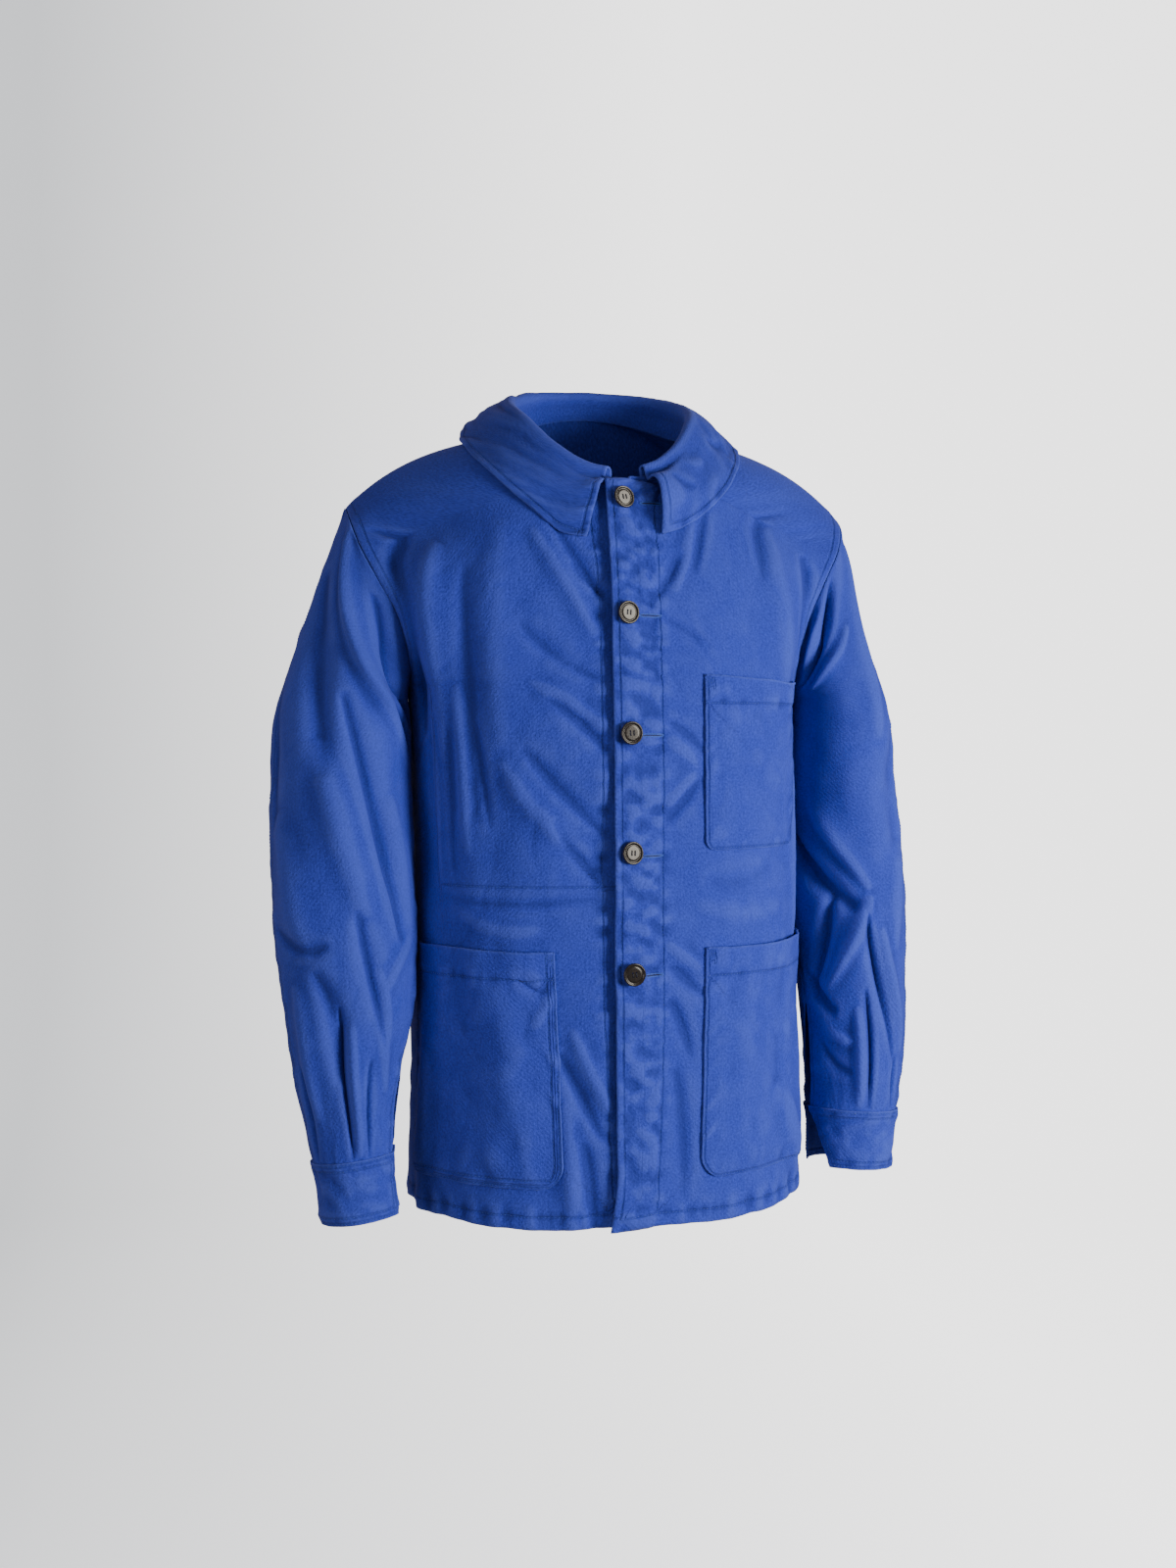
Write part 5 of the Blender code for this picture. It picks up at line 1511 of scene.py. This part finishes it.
# %% The buttons
BUTTON_RADIUS = 0.0106
HOLE_SPREAD, HOLE_RADIUS = 0.00165, 0.00085
# share of the radius, height in millimetres
PROFILE = (
    (0, 2.85), (0.3, 2.86), (0.52, 2.88), (0.6, 2.84), (0.645, 2.66), (0.675, 2.38), (0.705, 2.26),
    (0.735, 2.3), (0.775, 2.6), (0.82, 3.02), (0.865, 3.28), (0.905, 3.34), (0.945, 3.2), (0.975, 2.86),
    (0.995, 2.4), (1, 2), (0.985, 1.55), (0.94, 1.1), (0.86, 0.72), (0.7, 0.42), (0.4, 0.3), (0, 0.28),
)
BUTTON_TURN = (4, -6, 3, -3, 6)  # degrees each one has been turned by its thread
# each one hangs a little from its thread: degrees towards the wearer's left and up, metres across and up
BUTTON_TILT = (
    (20, 9, -0.0026, 0.0008), (20, 4, -0.0022, 0.0008), (17, 2, -0.0002, 0.0022), (20, 3, -0.0018, 0.0025),
    (7, -3, -0.0006, 0.0016),
)
SHANK = 0.0032  # metres of thread between the cloth and the button


def button(number, height):
    mesh = bpy.data.meshes.new(f"button_face_{number + 1}")
    mesh.from_pydata([(share * BUTTON_RADIUS, 0.0, mm / 1000) for share, mm in PROFILE],
                     [(i, i + 1) for i in range(len(PROFILE) - 1)], [])
    made = put(f"turned_button_{number + 1}", mesh, jacket)
    turned = made.modifiers.new("turned", "SCREW")
    turned.steps = turned.render_steps = 56
    turned.use_merge_vertices = True
    turned.merge_threshold = 0.00001
    turned.use_normal_calculate = True
    cutter_mesh = bpy.data.meshes.new("holes")
    drill = bmesh.new()
    for dx, dy in ((-1, -1), (-1, 1), (1, -1), (1, 1)):
        hole = bmesh.ops.create_cone(
            drill, cap_ends=True, segments=18, radius1=HOLE_RADIUS, radius2=HOLE_RADIUS, depth=0.02)
        bmesh.ops.translate(drill, verts=hole["verts"], vec=(dx * HOLE_SPREAD, dy * HOLE_SPREAD, 0.0))
    drill.to_mesh(cutter_mesh)
    drill.free()
    cutter = put("holes", cutter_mesh, jacket)
    cut = made.modifiers.new("holes", "BOOLEAN")
    cut.object = cutter
    bpy.context.view_layer.update()
    made.data = bpy.data.meshes.new_from_object(made.evaluated_get(bpy.context.evaluated_depsgraph_get()))
    made.modifiers.clear()
    bpy.data.objects.remove(cutter)
    place, out = on_panel("left", np.array([0.0]), np.array([height]))
    aside, upward, shift_x, shift_z = BUTTON_TILT[number]
    aside, upward = math.radians(aside), math.radians(upward)
    tilted = np.array([math.sin(aside), -math.cos(aside), math.sin(upward)])
    facing = Vector(0.2 * out[0] + 0.8 * tilted).to_track_quat("Z", "Y").to_matrix().to_4x4()
    place = Vector(place[0] + out[0] * (DOUBLE_CLOTH / 2 + SHANK)) + Vector((shift_x, 0.0, shift_z))
    spun = Matrix.Rotation(math.radians(BUTTON_TURN[number]), 4, "Z")
    made.matrix_world = Matrix.Translation(place) @ facing @ spun
    return made


def thread_bars(number, made):
    """Two bars, each of three strands, from the upper to the lower holes."""
    points, faces = [], []
    for side in (-1, 1):
        for strand in (-1, 0, 1):
            y = np.linspace(-1, 1, 14)
            path = np.stack([np.full(14, side * HOLE_SPREAD + strand * 0.00034), y * (HOLE_SPREAD + 0.0002),
                             0.00235 + 0.00085 * (1 - y**4) ** 0.5 + (strand == 0) * 0.00012], axis=1)
            some, shape = tube(path, np.tile([0.0, 0.0, 1.0], (14, 1)), np.full(14, 0.00026),
                               sides=6, flat=1.0)
            faces += shifted(shape, len(points) * len(some))
            points.append(some)
    bars = mesh_object(f"button_thread_{number + 1}", np.concatenate(points), faces)
    bars.matrix_world = made.matrix_world
    return bars


BUTTONS = [button(number, height) for number, height in enumerate(BUTTON_HEIGHTS)]
THREADS = [thread_bars(number, made) for number, made in enumerate(BUTTONS)]
print("button faces:", len(BUTTONS[0].data.polygons))

# %% [markdown]
# One end of thread has sprung loose beside the top buttonhole. Small accidents like this make cloth look
# worn.

# %% The loose thread
s = np.linspace(0, 1, 60)
across = HOLE_START[0] + HOLE_LENGTH + 0.0005 + 0.0075 * s + 0.0022 * np.sin(s * 9.0) * s
along = BUTTON_HEIGHTS[0] - 0.002 - 0.006 * s + 0.0026 * np.cos(s * 8.0) * s
place, out = on_panel("left", across, along)
place = place + out * (DOUBLE_CLOTH / 2 + 0.0003 + 0.0022 * np.sin(math.pi * s) ** 2)[:, None]
loose, loose_faces = tube(place, out, np.full(60, 0.00028), sides=6, flat=1.0)
THREAD_END = mesh_object("thread_end", loose, loose_faces)
# %% [markdown]
# Materials are node graphs. One small function adds a node, sets its values and joins its links, and one more
# turns the hex colours of a paint chart into the linear values that a shader works in.

# %% Helpers for materials
def linear(hex_colour):
    parts = [int(hex_colour[i:i + 2], 16) / 255 for i in (1, 3, 5)]
    return tuple(p / 12.92 if p <= 0.04045 else ((p + 0.055) / 1.055) ** 2.4 for p in parts) + (1.0,)


def fill(tree, node, inputs):
    """Sets a node's inputs. Each gets a value, or a link from the output socket that is given."""
    for name, value in inputs.items():
        if isinstance(value, bpy.types.NodeSocket):
            tree.links.new(value, node.inputs[name])
        else:
            node.inputs[name].default_value = value


def add(tree, kind, inputs=None, **settings):
    """A new node with these settings and inputs."""
    made = tree.nodes.new(kind)
    for name, value in settings.items():
        setattr(made, name, value)
    fill(tree, made, inputs or {})
    return made


def new_material(name):
    made = bpy.data.materials.new(name)
    made.use_nodes = True
    return made, made.node_tree, made.node_tree.nodes["Principled BSDF"]


# %% [markdown]
# Cotton moleskin is a heavy twill whose face is brushed and cropped to a short nap. The eye gets a matt blue
# with a soft bloom at glancing angles, faint diagonal ribs, and small specks where the nap is uneven. Ridges
# are painted paler as a highlight and creases darker as painted shade. Edges are paler, partly worn and
# partly a painted highlight, and painted shade darkens the groove beside each line of stitches. The real ribs
# are
# 0.6 mm apart and are drawn coarser here, or they wouldn't show.

# %% Blue cotton moleskin, brushed twill, garment washed
TWILL_PERIOD = 0.0023  # metres between ribs; the real ones are 0.6 mm apart
SLUB_WIDTH, SLUB_LENGTH = 0.0018, 0.009  # metres; thick places in the warp threads
SPECK_SIZE = 0.0022  # metres; drawn coarser than the real nap
WASH_SIZE = 0.05  # metres; patches that took the dye differently
COTTON_IOR = 1.47


def moleskin(name, mid, dark, light, deep, bloom):
    made, tree, shader = new_material(name)
    flat_cut = add(tree, "ShaderNodeUVMap", uv_map="flat cut").outputs["UV"]
    edge, seam, hollow = (add(tree, "ShaderNodeAttribute", attribute_name=title).outputs["Fac"]
                          for title in ("edge", "seam", "hollow"))
    away = add(tree, "ShaderNodeMath", {0: seam}, operation="ABSOLUTE").outputs[0]
    twill = add(tree, "ShaderNodeTexWave", {
        "Vector": flat_cut, "Scale": 2 * math.pi / 20 / TWILL_PERIOD, "Distortion": 5.0, "Detail": 2.0,
        "Detail Scale": 3.0}, wave_type="BANDS", bands_direction="DIAGONAL").outputs["Fac"]
    warp = add(tree, "ShaderNodeVectorMath", {0: flat_cut, 1: (1 / SLUB_WIDTH, 1 / SLUB_LENGTH, 1.0)},
               operation="MULTIPLY").outputs["Vector"]
    slubs = add(tree, "ShaderNodeTexNoise", {"Vector": warp, "Scale": 1.0, "Detail": 2.0}).outputs["Fac"]
    specks = add(tree, "ShaderNodeTexNoise", {
        "Vector": flat_cut, "Scale": 1 / SPECK_SIZE, "Detail": 3.0, "Roughness": 0.65}).outputs["Fac"]
    wash = add(tree, "ShaderNodeTexNoise", {
        "Vector": flat_cut, "Scale": 1 / WASH_SIZE, "Detail": 4.0, "Roughness": 0.6}).outputs["Fac"]
    shade = add(tree, "ShaderNodeMapRange", {
        "Value": specks, "From Min": 0.36, "From Max": 0.64}).outputs["Result"]
    shade = add(tree, "ShaderNodeMath", {0: shade, 1: 0.55, 2: add(tree, "ShaderNodeMath", {
        0: slubs, 1: 0.45}, operation="MULTIPLY").outputs[0]}, operation="MULTIPLY_ADD").outputs[0]
    cotton = add(tree, "ShaderNodeMix", {
        0: shade, 6: linear(dark), 7: linear(mid)}, data_type="RGBA").outputs[2]
    # patches that took the dye differently, then a painted highlight on ridges, then painted shade in creases
    for value, start, end, most, colour in (
        (wash, 0.42, 0.75, 0.12, light), (hollow, -0.1, -0.9, 0.2, light), (hollow, 0.1, 1.00, 0.42, deep),
    ):
        share = add(tree, "ShaderNodeMapRange", {
            "Value": value, "From Min": start, "From Max": end, "To Max": most}).outputs["Result"]
        cotton = add(tree, "ShaderNodeMix", {
            0: share, 6: cotton, 7: linear(colour)}, data_type="RGBA").outputs[2]
    # edges are paler, partly from wear and partly as a painted highlight
    worn_and_highlit_edge = add(tree, "ShaderNodeMapRange", {
        "Value": edge, "From Min": 0.0003, "From Max": 0.0022, "To Min": 0.55, "To Max": 0.0,
    }).outputs["Result"]
    worn_and_highlit_edge = add(tree, "ShaderNodeMath", {0: worn_and_highlit_edge, 1: wash}, operation="MULTIPLY").outputs[0]
    cotton = add(tree, "ShaderNodeMix", {0: worn_and_highlit_edge, 6: cotton, 7: linear(light)}, data_type="RGBA").outputs[2]
    groove = add(tree, "ShaderNodeMapRange", {
        "Value": away, "From Min": 0.0003, "From Max": 0.002, "To Min": 1.0, "To Max": 0.0},
        interpolation_type="SMOOTHSTEP").outputs["Result"]
    shadowed = add(tree, "ShaderNodeMath", {0: groove, 1: 0.3}, operation="MULTIPLY").outputs[0]
    cotton = add(tree, "ShaderNodeMix", {
        0: shadowed, 6: cotton, 7: linear(dark)}, data_type="RGBA").outputs[2]
    height = add(tree, "ShaderNodeMath", {0: specks, 1: 0.7, 2: add(tree, "ShaderNodeMath", {
        0: twill, 1: 0.22}, operation="MULTIPLY").outputs[0]}, operation="MULTIPLY_ADD").outputs[0]
    height = add(tree, "ShaderNodeMath", {0: slubs, 1: 0.5, 2: height}, operation="MULTIPLY_ADD").outputs[0]
    height = add(tree, "ShaderNodeMath", {0: groove, 1: -1.2, 2: height}, operation="MULTIPLY_ADD").outputs[0]
    bump = add(tree, "ShaderNodeBump", {
        "Height": height, "Strength": 0.8, "Distance": 0.0009}).outputs["Normal"]
    rough = add(tree, "ShaderNodeMapRange", {
        "Value": specks, "From Min": 0.3, "From Max": 0.7, "To Min": 0.82, "To Max": 0.95}).outputs["Result"]
    fill(tree, shader, {
        "Base Color": cotton, "Roughness": rough, "Normal": bump, "IOR": COTTON_IOR,
        "Specular IOR Level": 0.25, "Sheen Weight": bloom, "Sheen Roughness": 0.45,
        "Sheen Tint": linear("#b3bedf")})
    return made


# pale colour: dye patches, plus the painted highlight on ridges and edges; last colour: painted shade in
# creases
BLUE = moleskin("blue cotton moleskin", "#3b4fc6", "#213089", "#6378dc", "#131f63", 0.15)
print("nodes in the cloth:", len(BLUE.node_tree.nodes))

# %% [markdown]
# Sewing thread is spun cotton dyed to match: a touch darker than the cloth, with a fine twist that catches a
# little light. The buttonholes are bound with the same thread, and the slit between the lips is in shadow.

# %% Cotton sewing thread, twisted and dyed blue
def thread(name, colour, twist_period):
    made, tree, shader = new_material(name)
    where = add(tree, "ShaderNodeTexCoord").outputs["Object"]
    twist = add(tree, "ShaderNodeTexWave", {
        "Vector": where, "Scale": 2 * math.pi / 20 / twist_period, "Distortion": 2.0, "Detail": 1.0},
        wave_type="BANDS", bands_direction="DIAGONAL").outputs["Fac"]
    fuzz = add(tree, "ShaderNodeTexNoise", {"Vector": where, "Scale": 900.0, "Detail": 2.0}).outputs["Fac"]
    pale = tuple(min(1.0, c * 1.35) for c in linear(colour)[:3]) + (1.0,)
    dyed = add(tree, "ShaderNodeMix", {0: fuzz, 6: linear(colour), 7: pale}, data_type="RGBA").outputs[2]
    bump = add(tree, "ShaderNodeBump", {
        "Height": twist, "Strength": 0.5, "Distance": 0.0002}).outputs["Normal"]
    fill(tree, shader, {
        "Base Color": dyed, "Normal": bump, "Roughness": 0.62, "IOR": COTTON_IOR, "Sheen Weight": 0.15})
    return made


SEWING = thread("cotton sewing thread", "#27479c", 0.0008)
BINDING = thread("buttonhole thread", "#2b4da6", 0.0009)
SLIT = thread("shadowed cloth inside the buttonhole", "#0a1230", 0.001)
DARK_THREAD = thread("dark button thread", "#11131f", 0.0007)

# %% [markdown]
# The buttons are moulded plastic in a dark horn shade, then polished: nearly black with brown clouds, and a
# gloss that mirrors the window in the rim. Handling has left fine scratches.

# %% Dark horn plastic, moulded and polished
HORN_CLOUD = 0.0035  # metres; size of the brown clouds
HORN, tree, shader = new_material("dark horn plastic")
where = add(tree, "ShaderNodeTexCoord").outputs["Object"]
clouds = add(tree, "ShaderNodeTexNoise", {
    "Vector": where, "Scale": 1 / HORN_CLOUD, "Detail": 3.0, "Distortion": 0.8}).outputs["Fac"]
brown = add(tree, "ShaderNodeMapRange", {
    "Value": clouds, "From Min": 0.45, "From Max": 0.75}).outputs["Result"]
colour = add(tree, "ShaderNodeMix", {
    0: brown, 6: linear("#1a1715"), 7: linear("#2b2420")}, data_type="RGBA").outputs[2]
scratches = add(tree, "ShaderNodeTexNoise", {"Vector": where, "Scale": 700.0, "Detail": 2.0}).outputs["Fac"]
gloss = add(tree, "ShaderNodeMapRange", {
    "Value": scratches, "From Min": 0.3, "From Max": 0.8, "To Min": 0.24, "To Max": 0.3}).outputs["Result"]
bump = add(tree, "ShaderNodeBump", {
    "Height": scratches, "Strength": 0.03, "Distance": 0.0001}).outputs["Normal"]
fill(tree, shader, {"Base Color": colour, "Roughness": gloss, "Normal": bump, "IOR": 1.58})

# %% Putting the materials on
for piece in PIECES.values():
    piece.data.materials.append(BLUE)
for made in STITCHES.values():
    made.data.materials.append(SEWING)
for made in HOLES:
    made.data.materials.append(BINDING)
    made.data.materials.append(SLIT)
    inside = np.arange(len(made.data.polygons)) >= made["lip faces"]
    made.data.polygons.foreach_set("material_index", inside.astype(np.int32))
for made in BUTTONS:
    made.data.materials.clear()
    made.data.materials.append(HORN)
    made.data.shade_smooth()
    made.data.set_sharp_from_angle(angle=math.radians(50))
for made in THREADS:
    made.data.materials.append(DARK_THREAD)
THREAD_END.data.materials.append(BINDING)
print("materials:", [material.name for material in bpy.data.materials])
# %% [markdown]
# The jacket hangs in a plain pale studio: a floor that curves up into a wall all the way round, lit softly.
# A large window stands low to one side, so the folds show as light and shade. The floor and wall take light
# but throw none back, so the world alone fills the shadows. They also glow with painted light, brighter on
# the window's side and painted darker on the far side.

# %% The floor and wall
FLOOR_HEIGHT, STUDIO_RADIUS, BEND_RADIUS, WALL_TOP = -1.45, 3.4, 0.9, 2.6
turn = np.linspace(0, 2 * math.pi, 97)[:-1]
rise = np.linspace(0, math.pi / 2, 14)
outline = [(0.02, FLOOR_HEIGHT), (1.2, FLOOR_HEIGHT), (STUDIO_RADIUS - BEND_RADIUS, FLOOR_HEIGHT)]
outline += [(STUDIO_RADIUS - BEND_RADIUS + BEND_RADIUS * math.sin(a),
             FLOOR_HEIGHT + BEND_RADIUS * (1 - math.cos(a))) for a in rise[1:]]
outline.append((STUDIO_RADIUS, WALL_TOP))
points = [(r * math.cos(a), r * math.sin(a), z) for r, z in outline for a in turn]
index = np.arange(len(points)).reshape(len(outline), len(turn))
onward = np.roll(index, -1, axis=1)
faces = np.stack([index[:-1], onward[:-1], onward[1:], index[1:]], axis=-1)
mesh = bpy.data.meshes.new("studio")
mesh.from_pydata(points, [], faces.reshape(-1, 4).tolist() + [index[0][::-1].tolist()])
mesh.shade_smooth()
studio = put("studio", mesh, scene.collection)
studio.visible_shadow = False
studio.visible_diffuse = False
studio.visible_glossy = False
plaster, tree, shader = new_material("pale matt plaster")
where = add(tree, "ShaderNodeTexCoord").outputs["Object"]
mottle = add(tree, "ShaderNodeTexNoise", {"Vector": where, "Scale": 1.4, "Detail": 3.0}).outputs["Fac"]
# painted light: the floor and wall glow, brighter towards the window's side and painted darker away from it
across = add(tree, "ShaderNodeSeparateXYZ", {0: where}).outputs["X"]
painted_from_window = add(tree, "ShaderNodeMapRange", {
    "Value": across, "From Min": -1.0, "From Max": 0.9}).outputs["Result"]
painted_glow = add(tree, "ShaderNodeMix", {
    0: painted_from_window, 6: linear("#8f9395"), 7: linear("#ffffff")}, data_type="RGBA").outputs[2]
chalk = add(tree, "ShaderNodeMix", {
    0: mottle, 6: linear("#e1e3e5"), 7: linear("#eceeee")}, data_type="RGBA").outputs[2]
fill(tree, shader, {
    "Base Color": chalk, "Emission Color": painted_glow, "Emission Strength": 2.45, "Roughness": 0.95,
    "Specular IOR Level": 0.1})
mesh.materials.append(plaster)
print("floor at", FLOOR_HEIGHT)

# %% [markdown]
# Four area lights do the rest. Light linking keeps the window off the buttons and gives them a broad patch of
# sky of their own, so that their gloss shows without white glare.

# %% The lights
def area_light(name, place, aim, size, watts, colour):
    made = put(name, bpy.data.lights.new(name, "AREA"), scene.collection)
    made.data.shape = "RECTANGLE"
    made.data.size, made.data.size_y = size
    made.data.energy = watts
    made.data.color = linear(colour)[:3]
    made.location = place
    made.rotation_mode = "QUATERNION"
    made.rotation_quaternion = (Vector(aim) - Vector(place)).to_track_quat("-Z", "Y")
    return made


window = area_light("window", (1.45, -1.55, -0.34), (0.0, -0.1, -0.36), (0.7, 0.8), 53, "#f8f8ff")
area_light("soft fill", (-2.1, -1.6, -0.5), (0.0, 0.0, -0.45), (1.0, 1.2), 13, "#fff0f4")
area_light("behind", (0.6, 2.3, 0.9), (0.0, 0.0, -0.3), (1.6, 1.2), 10, "#ffffff")
sky = area_light("sky in the buttons", (1.45, -1.3, 0.22), (0.0, -0.13, -0.25), (1.1, 1.7), 72, "#e9e2d4")
for light, title, state in ((sky, "buttons", "INCLUDE"), (window, "unlit by the window", "EXCLUDE")):
    group = bpy.data.collections.new(title)
    for made in BUTTONS:
        group.objects.link(made)
    for linked in group.collection_objects:
        linked.light_linking.link_state = state
    light.light_linking.receiver_collection = group
world = bpy.data.worlds.new("studio light")
scene.world = world
world.use_nodes = True
fill(world.node_tree, world.node_tree.nodes["Background"], {"Color": linear("#f6e8ec"), "Strength": 0.27})
print("lights:", [light.name for light in bpy.data.lights])

# %% [markdown]
# Every piece rides on the one body of the frame, and the solid from model.glb that it replaces is hidden.


def flat_cut(piece):
    """(width, length, area) of the flat cut, from the map."""
    mesh = piece.data
    uv = np.empty(len(mesh.loops) * 2, np.float32)
    mesh.uv_layers["flat cut"].data.foreach_get("uv", uv)
    uv = uv.reshape(-1, 4, 2).astype(float)
    x, y = uv[:, :, 0], uv[:, :, 1]
    area = 0.5 * np.abs((x * np.roll(y, -1, 1) - y * np.roll(x, -1, 1)).sum(axis=1)).sum()
    width, length = np.ptp(x), np.ptp(y)
    return float(width), float(length), float(min(area, width * length))


for name, piece in PIECES.items():
    with_pieces = [STITCHES[name]] if name in STITCHES else []
    if name == "front_left":
        with_pieces += HOLES + [THREAD_END]
    if name == "front_right":
        with_pieces += BUTTONS + THREADS
    for part in [piece] + with_pieces:
        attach(part, "root")
    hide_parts(name)
    width, length, area = flat_cut(piece)
    print(f"{name}: {width:.3f} by {length:.3f} m, {area:.4f} square metres")
for number, made in enumerate(BUTTONS, 1):
    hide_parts(f"button_{number}")
